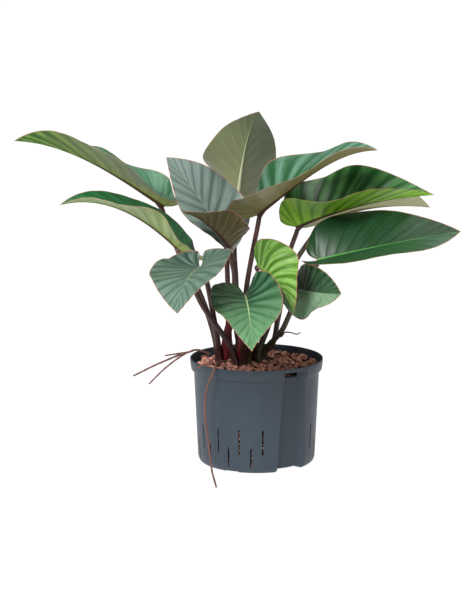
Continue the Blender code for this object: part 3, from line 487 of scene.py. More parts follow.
LEAVES = {
    "upper_left": Leaf(
        joint=(-0.1702, 0.085, 0.4517), heading=205, climb=35, droop=35, bow=2.4,
        swing=-30, roll=8, twist=-19, length=0.301, half_width=0.093, lobe=0.030, taper=1.01,
        left=Side((57, 3, 40, 60), 10, (-64, 4), 50, 0.13, 245),
        right=Side((39, -1, 19, 19), -10, (20, -32), 40, 0.16, 180),
        crown="left", bearing=152,
        route=((-0.105, 0.060, 0.3005), (-0.140, 0.075, 0.365), (-0.160, 0.083, 0.415))),
    "lower_left": Leaf(
        joint=(-0.1335, -0.020, 0.385), heading=173, climb=43, droop=57, bow=1.7,
        swing=24, roll=1, twist=4, length=0.243, half_width=0.074, lobe=0.048, taper=1.00,
        left=Side((46, 14, 29, 29), -9, (-21, 4), 38, 0.20, 270),
        right=Side((14, 7, 19, 28), -25, (1, 8), 53, 0.06, 320),
        crown="front", bearing=215,
        route=((-0.106, -0.006, 0.303), (-0.1225, -0.012, 0.350))),
    "inner_left": Leaf(
        joint=(-0.051, 0.030, 0.384), heading=175, climb=62, droop=17, bow=1.6,
        swing=-3, roll=24, twist=6, length=0.197, half_width=0.078, lobe=0.020, taper=0.93,
        left=Side((25, 8, -7, 9), 0, (13, -8), -40, 0.04, 340),
        right=Side((-9, 22, 16, 21), -25, (36, 21), -37, 0.21, 355),
        crown="left", bearing=18,
        route=((-0.050, 0.031, 0.225), (-0.051, 0.031, 0.289), (-0.053, 0.030, 0.351))),
    "small_left": Leaf(
        joint=(-0.049, -0.030, 0.392), heading=241, climb=41, droop=26, bow=1.7,
        swing=-15, roll=-10, twist=0, length=0.160, half_width=0.055, lobe=0.016, taper=1.07,
        left=Side((57, 39, 24, 8), 12, (-30, -1), 75, 0.19, 160),
        right=Side((56, 50, 36, 19), -18, (3, -12), 64, 0.04, 320),
        crown="front", bearing=100,
        route=((-0.036, 0.000, 0.240), (-0.040, -0.012, 0.296), (-0.041, -0.025, 0.353))),
    "top": Leaf(
        joint=(-0.037, 0.150, 0.431), heading=-74, climb=69, droop=41, bow=2.3,
        swing=4, roll=9, twist=2, length=0.243, half_width=0.080, lobe=0.043, taper=1.01,
        left=Side((36, 20, 9, -6), 11, (15, 11), 23, 0.02, 150),
        right=Side((62, 29, 5, 7), 0, (33, 0), 20, 0.17, 60),
        crown="left", bearing=80,
        route=((-0.037, 0.085, 0.297), (-0.040, 0.120, 0.365))),
    "upper_right": Leaf(
        joint=(0.003, -0.000, 0.449), heading=-21, climb=39, droop=36, bow=2.4,
        swing=-21, roll=-8, twist=5, length=0.278, half_width=0.085, lobe=0.053, taper=0.97,
        left=Side((25, 43, 27, 10), 5, (5, 4), 40, 0.23, 355),
        right=Side((50, -7, 1, 40), -8, (-8, -19), 40, 0.09, 275),
        crown="front", bearing=35,
        route=((-0.019, -0.010, 0.308), (-0.008, -0.004, 0.377))),
    "middle_right": Leaf(
        joint=(0.073, 0.030, 0.422), heading=-10, climb=25, droop=23, bow=1.1,
        swing=10, roll=1, twist=-3, length=0.253, half_width=0.090, lobe=0.025, taper=1.12,
        left=Side((55, 41, 61, 67), 0, (4, 32), 24, 0.35, 120),
        right=Side((55, 20, 18, 54), 0, (-12, -11), 30, 0.11, 120),
        crown="right", bearing=25,
        route=((0.026, 0.030, 0.203), (0.039, 0.030, 0.254), (0.062, 0.030, 0.384))),
    "back_right": Leaf(
        joint=(0.113, 0.100, 0.415), heading=27, climb=24, droop=34, bow=0.7,
        swing=-1, roll=9, twist=4, length=0.241, half_width=0.073, lobe=0.041, taper=0.98,
        left=Side((45, 45, 44, 43), 0, (8, 8), 12, 0.02, 0),
        right=Side((45, 49, 53, 56), 0, (10, 12), 12, 0.03, 0),
        crown="right", bearing=-95,
        route=((0.020, 0.018, 0.239), (0.037, 0.045, 0.286), (0.076, 0.085, 0.357))),
    "lower_right": Leaf(
        joint=(0.109, -0.020, 0.370), heading=-19, climb=16, droop=6, bow=1.4,
        swing=11, roll=-31, twist=1, length=0.261, half_width=0.090, lobe=0.026, taper=0.97,
        left=Side((38, 13, 6, 16), -24, (-17, 1), 75, 0.04, 135),
        right=Side((32, 29, 23, -18), 19, (-6, 20), 1, 0.04, 95),
        crown="right", bearing=-45,
        route=((0.046, -0.005, 0.240), (0.064, -0.010, 0.281))),
    "small_right": Leaf(
        joint=(0.071, -0.060, 0.324), heading=-62, climb=3, droop=-7, bow=1.2,
        swing=5, roll=-58, twist=-5, length=0.143, half_width=0.050, lobe=0.014, taper=0.97,
        left=Side((18, 19, 14, 1), 0, (25, 18), 70, 0.03, 240),
        right=Side((31, 0, -6, -5), 3, (29, 17), 70, 0.30, 50),
        crown="front", bearing=-25,
        route=((0.009, -0.030, 0.245), (0.034, -0.050, 0.304))),
    "young": Leaf(
        joint=(0.002, -0.090, 0.372), heading=-51, climb=-20, droop=57, bow=1.9,
        swing=6, roll=43, twist=5, length=0.122, half_width=0.064, lobe=0.014, taper=1.16,
        left=Side((49, 37, 27, 22), 0, (-6, -7), 35, 0.07, 335),
        right=Side((29, 60, 57, 31), -11, (16, 19), 35, 0.30, 225),
        crown="right", bearing=190,
        route=((-0.001, -0.030, 0.264), (0.011, -0.075, 0.335))),
    "front": Leaf(
        joint=(-0.021, -0.140, 0.329), heading=-85, climb=-7, droop=20, bow=1.3,
        swing=-4, roll=-11, twist=4, length=0.210, half_width=0.066, lobe=0.030, taper=1.03,
        left=Side((29, -4, -11, 33), 30, (40, -7), -40, 0.07, 340),
        right=Side((32, 19, 23, 17), 13, (-6, 13), 8, 0.11, 55),
        crown="front", bearing=280,
        route=((-0.017, -0.075, 0.264), (-0.019, -0.105, 0.305))),
    "front_left": Leaf(
        joint=(-0.099, -0.105, 0.373), heading=-99, climb=3, droop=43, bow=2.4,
        swing=1, roll=-9, twist=-3, length=0.239, half_width=0.074, lobe=0.036, taper=0.90,
        left=Side((33, 7, 7, 15), -2, (-9, 2), 75, 0.09, 275),
        right=Side((9, 9, 5, 1), 30, (20, 4), 75, 0.09, 85),
        crown="left", bearing=218,
        route=((-0.078, 0.004, 0.268), (-0.088, -0.030, 0.330))),
}


def rib_frames(leaf, along):
    """Centre, forward, leftward and upward directions of the curved rib at each distance along it."""
    stations = np.linspace(0, 1, 60)
    heading = np.radians(leaf.heading + leaf.swing * stations)
    climb = np.radians(leaf.climb - leaf.droop * stations ** leaf.bow)
    level = np.stack([np.cos(heading), np.sin(heading), 0 * heading], -1)
    upright = np.array([0, 0, 1.0])
    forward = level * np.cos(climb)[:, None] + upright * np.sin(climb)[:, None]
    up = upright * np.cos(climb)[:, None] - level * np.sin(climb)[:, None]
    left = np.cross(up, forward)
    roll = np.radians(leaf.roll + leaf.twist * stations)[:, None]
    steps = (forward[1:] + forward[:-1]) / 2 * leaf.length / (len(stations) - 1)
    centre = np.vstack([np.zeros(3), np.cumsum(steps, axis=0)]) + np.array(leaf.joint)
    turned_left = left * np.cos(roll) - up * np.sin(roll)
    turned_up = up * np.cos(roll) + left * np.sin(roll)
    marks = stations * leaf.length
    frames = []
    for values in (centre, forward, turned_left, turned_up):
        frames.append(np.stack([np.interp(along, marks, values[:, k]) for k in range(3)], -1))
    return frames


def smooth_path(route, count):
    """Points spaced evenly along a smooth cubic curve through the route's own points."""
    knots = np.array(route, float)
    steps = np.linalg.norm(np.diff(knots, axis=0), axis=1)
    marks = np.concatenate([[0], np.cumsum(steps)])
    slopes = np.gradient(knots, marks, axis=0)
    places = np.linspace(0, marks[-1], count)
    k = np.clip(np.searchsorted(marks, places, side="right") - 1, 0, len(steps) - 1)
    h = steps[k][:, None]
    t = (places - marks[k])[:, None] / h
    start_pull = (t ** 3 - 2 * t ** 2 + t) * h * slopes[k]
    end_pull = (t ** 3 - t ** 2) * h * slopes[k + 1]
    blend = 3 * t ** 2 - 2 * t ** 3
    return knots[k] * (1 - blend) + knots[k + 1] * blend + start_pull + end_pull


def tube_rings(path, radii, sides, towards, flatness=1.0):
    """Rings round a path. Each is a circle across the path's own direction, flattened if asked, whose
    first point lies on the side that faces towards. radii holds a radius for each ring, or for each
    ring and side."""
    tangents = np.gradient(path, axis=0)
    tangents /= np.linalg.norm(tangents, axis=1)[:, None]
    towards = np.array(towards, float)
    across = towards - tangents * (tangents @ towards)[:, None]
    across /= np.linalg.norm(across, axis=1)[:, None]
    other = np.cross(tangents, across)
    angles = np.arange(sides) * 2 * np.pi / sides
    circle = np.cos(angles)[:, None] * across[:, None] + flatness * np.sin(angles)[:, None] * other[:, None]
    radii = np.broadcast_to(np.asarray(radii).reshape(len(path), -1), (len(path), sides))
    return path[:, None] + radii[..., None] * circle


def closed_tube(rings):
    """The points and faces of a tube of rings, closed by a point in the middle of each end ring."""
    count, sides = rings.shape[:2]
    points = np.vstack([rings.reshape(-1, 3), rings[0].mean(0), rings[-1].mean(0)])
    first, last = np.arange(sides), np.arange(sides) + (count - 1) * sides
    starts = np.stack([np.full(sides, count * sides), np.roll(first, -1), first], -1)
    ends = np.stack([np.full(sides, count * sides + 1), last, np.roll(last, -1)], -1)
    return points, grid_faces(count, sides, around=True).tolist() + starts.tolist() + ends.tolist()


def grain_of(path, sides):
    """A vector for each point of a tube: its place round the tube, and its distance along it in
    centimetres, then two more points for the ends."""
    along = np.concatenate([[0], np.cumsum(np.linalg.norm(np.diff(path, axis=0), axis=1))]) * 100
    angles = np.arange(sides) * 2 * np.pi / sides
    grain = np.empty((len(path), sides, 3))
    grain[..., 0], grain[..., 1], grain[..., 2] = np.cos(angles), np.sin(angles), along[:, None]
    return np.vstack([grain.reshape(-1, 3), [0, 0, along[0]], [0, 0, along[-1]]])


def skin_material(name, dark, light, edge, roughness, streak_scale=3.0):
    """A fleshy skin: streaks drawn out along the tube between a dark and a light colour, small pale
    dots, and a finely ridged surface."""
    material, tree, shader = new_material(name, roughness)
    grain = add_node(tree, "Attribute", {}, attribute_name="grain").outputs["Vector"]
    drawn = add_node(tree, "Mapping", {"Vector": grain, "Scale": (1, 1, 0.12)}).outputs[0]
    streaks = noise(tree, drawn, streak_scale, 5, 0.6)
    place = add_node(tree, "TexCoord", {}).outputs["Object"]
    dots = ramp(tree, noise(tree, place, 620, 2, 0.5), 0.66, 0.74)
    tone = mix(tree, ramp(tree, streaks, 0.36, 0.66), colour(dark), colour(light))
    pale_streaks = ramp(tree, noise(tree, drawn, streak_scale * 4, 3), 0.55, 0.75, 0.0, 0.55)
    tone = mix(tree, pale_streaks, tone, colour(edge))
    tone = mix(tree, work(tree, "MULTIPLY", dots, 0.35), tone, colour("#a98a78"))
    tree.links.new(tone, shader.inputs["Base Color"])
    bump(tree, shader, noise(tree, drawn, streak_scale * 6, 3), 0.0005, 0.6)
    return material


maroon_skin = skin_material("maroon_skin", "#26110f", "#4c2a26", "#6a4a3c", 0.38)
olive_skin = skin_material("olive_skin", "#2a2016", "#454224", "#5f5b32", 0.38)
OLIVE_STALKS = ("lower_right", "back_right", "small_right")

for leaf_name, leaf in LEAVES.items():
    centre, forward, _, up = rib_frames(leaf, np.array([0.0, RIB_REACH]))
    bearing = np.radians(leaf.bearing)
    out_from_crown = STALK_RING * np.array([np.cos(bearing), np.sin(bearing)])
    foot = np.array([*(np.array(CROWNS[leaf.crown]) + out_from_crown), CROWN_TOP + GAP])
    first = np.array(leaf.route[0]) - foot
    lean = foot + np.array([first[0] * 0.05, first[1] * 0.05, CLASP_HEIGHT])
    into_rib = [centre[0] - up[0] * JOINT_DEPTH - forward[0] * 0.001, centre[1] - up[1] * RIB_DEPTH]
    last_run = into_rib[0] - np.array(leaf.route[-1])
    below_joint = into_rib[0] - last_run * NECK / np.linalg.norm(last_run)
    path = smooth_path([foot, lean, *leaf.route, below_joint, *into_rib], STALK_RINGS)
    along = np.concatenate([[0], np.cumsum(np.linalg.norm(np.diff(path, axis=0), axis=1))])
    length = along[-1] - END_TAPER
    share = np.clip(along / length, 0, 1)
    radii = STALK_BASE + (STALK_TOP - STALK_BASE) * share ** 0.8
    flesh = YOUNG_FLESH if leaf_name == "young" else STALK_FLESH
    radii *= flesh + CLASP * np.exp(-along / CLASP_HEIGHT)
    radii += (STALK_END - STALK_TOP) * np.clip((along - length) / END_TAPER, 0, 1)
    side_angles = np.arange(STALK_SIDES) * 2 * np.pi / STALK_SIDES
    groove = 1 - GROOVE_DEPTH * np.exp(-((side_angles - np.pi / 2) / GROOVE_WIDTH) ** 2)
    groove += 0.012 * np.cos(5 * side_angles)
    outwards = np.cross(path[-1] - path[0], (0, 0, 1.0))
    rings = tube_rings(path, radii[:, None] * groove, STALK_SIDES, outwards)
    points, faces = closed_tube(rings)
    skin = olive_skin if leaf_name in OLIVE_STALKS else maroon_skin
    add_piece("petiole_" + leaf_name, points, faces, [skin], ["stalk_" + leaf_name],
              {"grain": grain_of(path, STALK_SIDES)}, sharp=60)


# Leaf blades
# Thin glossy blades in two halves about a midrib, each half folded up, curled and waved its own way.
# Side veins part from the midrib and bow towards the tip, and the tissue puffs up between them.
BLADE_ROWS = 150
FIRST_ROW = 0.03
LAST_ROW = 0.975
RIB_WIDTH = 0.0042
RIB_STEPS = (0.0, 0.35, 0.6, 0.8, 1.0, 1.3)
ACROSS_STEPS = 20
THICKNESS = 0.0008
RISE_OVER_RIB = 0.0005
RIB_RIDGE = 0.0033
LOBE_VEINS = 3.0
SIDE_VEINS = 11.0
NARROW = 0.012


def flat_blade(leaf, s, t):
    """Distance along the rib and across from it for each (s, t) of a flat blade half."""
    share = (1 - np.cos(np.pi * s)) / 2
    widest = BASE_POWER / (BASE_POWER + leaf.taper)
    full = widest ** BASE_POWER * (1 - widest) ** leaf.taper
    across = leaf.half_width * share ** BASE_POWER * (1 - share) ** leaf.taper / full
    along = -leaf.lobe + (leaf.length + leaf.lobe) * share
    notch = 1 - (1 - np.clip(across / (SINUS_SHARE * leaf.half_width), 0, 1)) ** 2
    along = np.where(along < 0, along * np.where(share > widest, 1, notch), along)
    rib = leaf.length * np.clip((s - VEINS_FROM_BASE) / (1 - VEINS_FROM_BASE), 0, None) ** VEIN_POWER
    chord = np.hypot(along - rib, across)
    bow = VEIN_BOW * chord * t * (1 - t) * np.clip((s - VEINS_FROM_BASE) / 0.3, 0, 1) * (1 - s)
    return rib + (along - rib) * t - bow, across * t


def blade_half(leaf, hand, s, t):
    """Places of a blade half. It folds up from the rib, curls in an arc, waves at its margin, and
    its lobe bends in an arc behind the joint. hand is 1 for the left half and -1 for the right."""
    form = leaf.left if hand > 0 else leaf.right
    along, across = flat_blade(leaf, s, t)
    centre, forward, left, up = rib_frames(leaf, along)
    behind = np.clip(-along, 0, None)
    w = np.clip(along / leaf.length, 0, 1)
    a, b, c, d = form.folds
    fold = a * (1 - w) ** 3 + 3 * b * w * (1 - w) ** 2 + 3 * c * w * w * (1 - w) + d * w ** 3
    fold = np.radians(fold + form.lobe_fold * behind / leaf.lobe)
    curl = np.radians(form.curl[0] + (form.curl[1] - form.curl[0]) * w) / leaf.half_width
    curl = np.where(np.abs(curl) < 0.001, 0.001, curl)
    slope = fold + curl * across
    sideways = (np.sin(slope) - np.sin(fold)) / curl
    upward = (np.cos(fold) - np.cos(slope)) / curl
    phase = 3 * np.pi * along / leaf.length + np.radians(form.phase)
    wave = form.wave * across ** 2 / leaf.half_width * np.sin(phase)
    sideways = sideways - wave * np.sin(slope)
    upward = upward + wave * np.cos(slope)
    cos_fold, sin_fold = np.cos(fold)[..., None], np.sin(fold)[..., None]
    outward = left * hand * cos_fold + up * sin_fold
    face_up = up * cos_fold - left * hand * sin_fold
    out_share = sideways[..., None] * cos_fold + upward[..., None] * sin_fold
    up_share = upward[..., None] * cos_fold - sideways[..., None] * sin_fold
    bend = np.radians(form.lobe_bend) / leaf.lobe
    turn = bend * behind[..., None]
    centre = centre - forward * np.sin(turn) / bend + face_up * (1 - np.cos(turn)) / bend
    return centre + outward * out_share + (face_up * np.cos(turn) + forward * np.sin(turn)) * up_share


def vein_number(s):
    """How many side veins lie between the sinus and a row: evenly spread in the lobe, then a little
    closer together near the joint than towards the tip."""
    past = np.clip((s - VEINS_FROM_BASE) / (1 - VEINS_FROM_BASE), 0, None)
    return np.minimum(s / VEINS_FROM_BASE, 1) * LOBE_VEINS + SIDE_VEINS * past ** 1.2


def blade_side(leaf, hand, ripple):
    """Upper and under skins of a blade half, with two marks for each point: its vein number, share
    across (below 0 in the right half) and share along, then its distances from the margin, from the
    rib and along the rib in millimetres. The half surface sinks along each side vein and stands up
    between two of them, and each skin lies half a thickness off it. The under skin has the midrib, a
    ridge of half-round section."""
    rows = np.linspace(FIRST_ROW, LAST_ROW, BLADE_ROWS)
    rib_along, _ = flat_blade(leaf, rows, 0 * rows)
    edge_along, edge_across = flat_blade(leaf, rows, 0 * rows + 1)
    chord = np.hypot(edge_along - rib_along, edge_across)[:, None]
    rib_share = (rib_along / leaf.length)[:, None]
    rib_width = RIB_WIDTH * (1 - 0.75 * rib_share)
    near = np.minimum(rib_width / chord, 0.2) * np.array(RIB_STEPS)
    spread = np.linspace(0, 1, ACROSS_STEPS + 1)[1:]
    t = np.hstack([near, near[:, -1:] + (1 - near[:, -1:]) * (1 - (1 - spread) ** 1.2)])
    s = np.broadcast_to(rows[:, None], t.shape)
    along, _ = flat_blade(leaf, s, t)
    middle = blade_half(leaf, hand, s, t)
    normal = np.cross(np.gradient(middle, axis=0), np.gradient(middle, axis=1)) * hand
    normal /= np.maximum(np.linalg.norm(normal, axis=-1), 1e-12)[..., None]
    _, _, _, rib_up = rib_frames(leaf, rib_along)
    from_rib = t * chord
    own = np.clip(from_rib / 0.004, 0, 1) * np.clip(chord / NARROW, 0, 1)
    normal = normal * own[..., None] + rib_up[:, None] * (1 - own[..., None])
    normal /= np.linalg.norm(normal, axis=-1)[..., None]
    veins = vein_number(s)
    valley = np.cos(np.pi * veins) ** 2
    window = np.clip(from_rib / 0.018, 0, 1) * (1 - 0.55 * t ** 2) * np.clip(chord / 0.030, 0, 1)
    lift = ripple * window * (0.35 - valley ** 2)
    middle = middle + normal * lift[..., None]
    from_margin = np.minimum((1 - t) * chord, np.linalg.norm(middle - middle[:1], axis=-1))
    half = THICKNESS / 2 * (1 - 0.4 * t ** 3)
    over_rib = RISE_OVER_RIB * (1 - 0.7 * rib_share) * np.exp(-(from_rib / (0.32 * rib_width)) ** 2)
    half_round = np.sqrt(np.clip(1 - (from_rib / rib_width) ** 2, 0, 1))
    ridge = RIB_RIDGE * (1 - 0.86 * rib_share) * half_round
    upper = middle + normal * (half + over_rib)[..., None]
    under = middle - normal * (half + ridge)[..., None]
    share_along = np.clip(along / leaf.length, 0, 1)
    vein_mark = np.stack([veins, t * hand, share_along], -1)
    rib_place = np.broadcast_to(rib_along[:, None], t.shape)
    edge_mark = np.stack([from_margin, from_rib, rib_place], -1) * 1000
    return upper, under, vein_mark, edge_mark


def make_blade(name, leaf, ripple, skins):
    """A closed blade: both skins of both halves, an edge between them, and a point at the tip."""
    tip, _, _, tip_up = rib_frames(leaf, np.array([leaf.length]))
    points = [tip[0] + tip_up[0] * THICKNESS / 2, tip[0] - tip_up[0] * THICKNESS / 2]
    vein_marks = [[LOBE_VEINS + SIDE_VEINS, 0, 1]] * 2
    edge_marks = [[0, 0, leaf.length * 1000]] * 2
    points, vein_marks, edge_marks = [points], [vein_marks], [edge_marks]
    faces, face_slots = [], []
    start = 2
    for hand in (1, -1):
        upper, under, vein_mark, edge_mark = blade_side(leaf, hand, ripple)
        rows, columns = upper.shape[:2]
        rims = []
        for number, skin in enumerate((upper, under)):
            grid = start + np.arange(rows * columns).reshape(rows, columns)
            cells = (start + grid_faces(rows, columns)).tolist()
            fan = np.stack([np.full(columns - 1, number), grid[-1, 1:], grid[-1, :-1]], -1).tolist()
            faces += cells + fan
            face_slots += [number] * (len(cells) + len(fan))
            rims.append(np.concatenate([grid[0], grid[1:, -1], [number]]))
            points.append(skin.reshape(-1, 3))
            vein_marks.append(vein_mark.reshape(-1, 3))
            edge_marks.append(edge_mark.reshape(-1, 3))
            start += rows * columns
        rim = np.stack([rims[0][:-1], rims[0][1:], rims[1][1:], rims[1][:-1]], -1).tolist()
        faces += rim
        face_slots += [1] * len(rim)
    marks = {"vein": np.vstack(vein_marks), "edge": np.vstack(edge_marks)}
    add_piece("blade_" + name, np.vstack(points), faces, skins, ["leaf_" + name], marks,
              face_slots, 50)


SHEEN = 0.018
LIGHT = 1.25
MARGIN_TONE = "#ac7866"
UNDER_RIB_WIDTH = 4.3

# A skin's colours: the tissue at the base and the tip, the side veins, the midrib at its base and
# tip, and the stripes between veins, then how strongly veins and stripes show, how far a vein's
# colour spreads (spread wide, a dark vein colour is painted shade in the valleys between the pleats),
# how much of the stripe colour covers the right half (or the left, if below 0), which paints that half
# lighter as painted sheen, and half the width of the midrib in millimetres
Skin = namedtuple("Skin", "base tip vein rib_base rib_tip stripe veins stripes spread lean rib",
                  defaults=(0.075, 0.0, 1.5))


def tissue(code):
    """The colour of glossy tissue seen as a #rrggbb code: the sheen is taken off, and the rest is
    divided by the strength of the light."""
    own = [max(part - SHEEN, 0.002) / LIGHT for part in colour(code)[:3]]
    return (*own, 1.0)


def leaf_skin(name, skin, under, roughness):
    """Leaf tissue: base to tip colour, clouded by streaks that follow the side veins, with thin pale
    side veins and finer ones between, a midrib of its own colour and a thin reddish margin. A dark vein
    colour spread wide paints shade into the valleys along the side veins, and the stripe colour laid
    over one half paints sheen on that half."""
    material, tree, shader = new_material(name, roughness)
    place = add_node(tree, "TexCoord", {}).outputs["Object"]
    vein = add_node(tree, "Attribute", {}, attribute_name="vein").outputs["Vector"]
    veins = add_node(tree, "SeparateXYZ", {0: vein}).outputs
    edge = add_node(tree, "Attribute", {}, attribute_name="edge").outputs["Vector"]
    edges = add_node(tree, "SeparateXYZ", {0: edge}).outputs
    tone = mix(tree, ramp(tree, veins[2], 0.05, 0.95), tissue(skin.base), tissue(skin.tip))
    # Painted sheen: the stripe colour laid over one whole half makes that half lighter than the other.
    if skin.lean:
        side = work(tree, "MULTIPLY", veins[1], -np.sign(skin.lean))
        tone = mix(tree, ramp(tree, side, -0.01, 0.01, 0.0, abs(skin.lean)), tone, tissue(skin.stripe))
    flow = add_node(tree, "Mapping", {"Vector": vein, "Scale": (1.0, 0.55, 0.3)}).outputs[0]
    streaks = noise(tree, flow, 3.2, 4, 0.6)
    clouds = noise(tree, place, 38, 4, 0.55)
    from_vein = work(tree, "PINGPONG", veins[0], 0.5)
    off_vein = ramp(tree, from_vein, 0.06, 0.40)
    between = work(tree, "MULTIPLY", off_vein, ramp(tree, streaks, 0.30, 0.62))
    tone = mix(tree, work(tree, "MULTIPLY", between, skin.stripes), tone, tissue(skin.stripe))
    tone = mix(tree, ramp(tree, clouds, 0.50, 0.74, 0.0, 0.40), tone, tissue(skin.base))
    fine = work(tree, "PINGPONG", work(tree, "MULTIPLY", veins[0], 5.0), 0.5)
    fine_lines = ramp(tree, fine, 0.0, 0.22, 0.20 * skin.veins, 0.0)
    # Spread wide, the dark vein colour is painted shade in the valleys along the side veins.
    vein_lines_and_valley_shade = ramp(tree, from_vein, 0.012, skin.spread, skin.veins, 0.0)
    shades_valleys = skin.spread > 0.1
    fade = ramp(tree, work(tree, "ABSOLUTE", veins[1]), 0.55, 1.0, 1.0, 0.25 + 0.6 * shades_valleys)
    broken = ramp(tree, noise(tree, flow, 6.0, 3), 0.35, 0.60, 1.0 - 0.65 * shades_valleys, 1.0)
    veins_and_valley_shade = work(tree, "MAXIMUM", fine_lines, vein_lines_and_valley_shade)
    veins_and_valley_shade = work(tree, "MULTIPLY", veins_and_valley_shade, work(tree, "MULTIPLY", fade, broken))
    tone = mix(tree, veins_and_valley_shade, tone, tissue(skin.vein))
    rib_width = UNDER_RIB_WIDTH if under else skin.rib
    width = ramp(tree, veins[2], 0.0, 1.0, rib_width, rib_width * 0.25)
    on_rib = ramp(tree, work(tree, "DIVIDE", edges[1], width), 0.70, 1.05, 1.0, 0.0)
    rib_tone = mix(tree, ramp(tree, veins[2], 0.0, 0.85), tissue(skin.rib_base), tissue(skin.rib_tip))
    tone = mix(tree, on_rib, tone, rib_tone)
    uneven = work(tree, "ADD", edges[0], work(tree, "MULTIPLY", clouds, 0.6))
    tone = mix(tree, ramp(tree, uneven, 1.1, 2.0, 0.85, 0.0), tone, tissue(MARGIN_TONE))
    tree.links.new(tone, shader.inputs["Base Color"])
    uneven_gloss = ramp(tree, clouds, 0.3, 0.7, roughness - 0.03, roughness + 0.05)
    tree.links.new(uneven_gloss, shader.inputs["Roughness"])
    shader.inputs["Specular IOR Level"].default_value = 0.35
    sunk = work(tree, "MULTIPLY", veins_and_valley_shade, -0.7)
    relief = work(tree, "ADD", sunk, work(tree, "MULTIPLY", streaks, 0.8))
    bump(tree, shader, relief, 0.0004, 0.5)
    return material


# Each leaf's upper skin and under skin, and the height of the pleats between its side veins
LOOKS = {
    "upper_left": (
        Skin("#4d7a5c", "#38703f", "#8fb094", "#9fb88c", "#7fae78", "#6a9a7a", 0.35, 0.6),
        Skin("#8e9c50", "#2f6010", "#4a6a22", "#4a2a26", "#4a4028", "#98ae5c", 0.60, 0.6),
        0.0012),
    "lower_left": (
        Skin("#3a6a4a", "#2d6037", "#6fa07c", "#9fb88c", "#7fae78", "#4f8f68", 0.35, 0.5),
        Skin("#86a04c", "#9aac74", "#5f7c38", "#4a2a26", "#6a4a3a", "#b0c480", 0.55, 0.7),
        0.0012),
    "inner_left": (
        Skin("#677a70", "#7c8f88", "#566860", "#b8c4a0", "#a8b898", "#94a49c", 0.50, 0.8, 0.20),
        Skin("#7a8468", "#7a8468", "#8f9a78", "#5a3a30", "#8a7a58", "#848e70", 0.4, 0.4),
        0.0018),
    "small_left": (
        Skin("#5f7f6f", "#5f7f6f", "#8fa89a", "#b4c49a", "#9fb890", "#6f8f7f", 0.35, 0.4),
        Skin("#64583a", "#7a7050", "#b0a680", "#4a2a28", "#6a4a3a", "#7a7048", 0.7, 0.5),
        0.0013),
    "top": (
        Skin("#4f7f5c", "#4f7f5c", "#8fb08c", "#b4c49a", "#9fb890", "#5f8f6c", 0.35, 0.4),
        Skin("#7a8262", "#8a967c", "#a8ae88", "#d4d9b0", "#c4cca2", "#8e9060", 0.5, 0.45, 0.075, 0.40),
        0.0008),
    "upper_right": (
        Skin("#365e40", "#4a785a", "#2c5234", "#9fb88c", "#7fae78", "#769c86", 0.45, 0.75, 0.16),
        Skin("#a09658", "#a69e74", "#c4ba90", "#5a3a30", "#5a3630", "#a89e78", 0.55, 0.5),
        0.0010),
    "middle_right": (
        Skin("#215216", "#3a7440", "#1c4410", "#6fa060", "#5f9a54", "#68a05e", 0.40, 0.75, 0.3),
        Skin("#90cc38", "#8ad028", "#538c1a", "#4a2626", "#6a4a30", "#bae85e", 0.8, 0.8, 0.26),
        0.0017),
    "back_right": (
        Skin("#2f6a38", "#2f6a38", "#5f9a5c", "#7fb070", "#6fa064", "#3f7d48", 0.3, 0.4),
        Skin("#acae80", "#b0b28c", "#96996f", "#6a4a3a", "#8a7a58", "#b2b690", 0.4, 0.4),
        0.0008),
    "lower_right": (
        Skin("#304c36", "#1e3a22", "#4c7050", "#68a856", "#5f9c50", "#3c6242", 0.35, 0.35, 0.075, 0.6, 3.0),
        Skin("#7d9a64", "#7d9a64", "#9fb488", "#6a5a3a", "#8a8a58", "#8aa672", 0.4, 0.3),
        0.0007),
    # Its upper skin's dark tissue is painted shade from the leaf above, and the light stripe colour over
    # its right half is painted sheen.
    "small_right": (
        Skin("#1b3520", "#33523a", "#8fa890", "#a9c094", "#9ab08a", "#8aaa8a", 0.4, 0.25, 0.075, 0.85),
        Skin("#7d9070", "#7d9070", "#9fb088", "#6a5a3a", "#8a8a58", "#8aa07c", 0.4, 0.3),
        0.0011),
    "young": (
        Skin("#5f902c", "#72a238", "#3c6a1c", "#a8cc70", "#a0c468", "#a4c866", 0.85, 0.9, 0.33),
        Skin("#608e36", "#74a044", "#426f22", "#6f8a3c", "#7f9a48", "#9cc470", 0.85, 0.9, 0.33),
        0.0028),
    "front": (
        Skin("#30503a", "#7aac7a", "#2c4a34", "#bcd29a", "#b0c890", "#648c6a", 0.55, 0.85, 0.22, 0.25, 2.0),
        Skin("#7d9464", "#7d9464", "#9fb488", "#6a4a3a", "#8a8a58", "#8aa072", 0.4, 0.3),
        0.0020),
    "front_left": (
        Skin("#455c50", "#5c7866", "#344a3e", "#b4c494", "#a4b88c", "#758c7e", 0.55, 0.8, 0.20, -0.3),
        Skin("#5f7a68", "#5f7a68", "#7a9484", "#4a3a30", "#6a6a50", "#6a8674", 0.4, 0.3),
        0.0017),
}

for leaf_name, leaf in LEAVES.items():
    upper_look, under_look, ripple = LOOKS[leaf_name]
    skins = [leaf_skin(leaf_name + "_upper_skin", upper_look, False, 0.36),
             leaf_skin(leaf_name + "_under_skin", under_look, True, 0.45)]
    make_blade(leaf_name, leaf, ripple, skins)


# Bud sheaths
# Flattened, keeled red sheaths that wrapped the newest leaves, standing in the crowns and drawn out
# to a point, with a last one that has dried to brown paper.
SHEATH_FLATNESS = 0.6
SHEATHS = {
    "left": ((-0.058, 0.022), (-0.050, 0.016, 0.262), 0.0092),
    "front": ((-0.027, -0.010), (-0.028, -0.017, 0.246), 0.0086),
    "right": ((0.004, 0.022), (-0.004, 0.027, 0.222), 0.0062),
    "dried": ((-0.0395, -0.0070), (-0.038, -0.010, 0.219), 0.0034),
}
SHEATH_SIDES = 24
SHEATH_RINGS = 60

red_skin = skin_material("red_skin", "#6a1620", "#8a2a30", "#a34a44", 0.4, 2.2)
dried_skin = skin_material("dried_skin", "#4a2c1e", "#83583c", "#a07850", 0.75, 2.6)

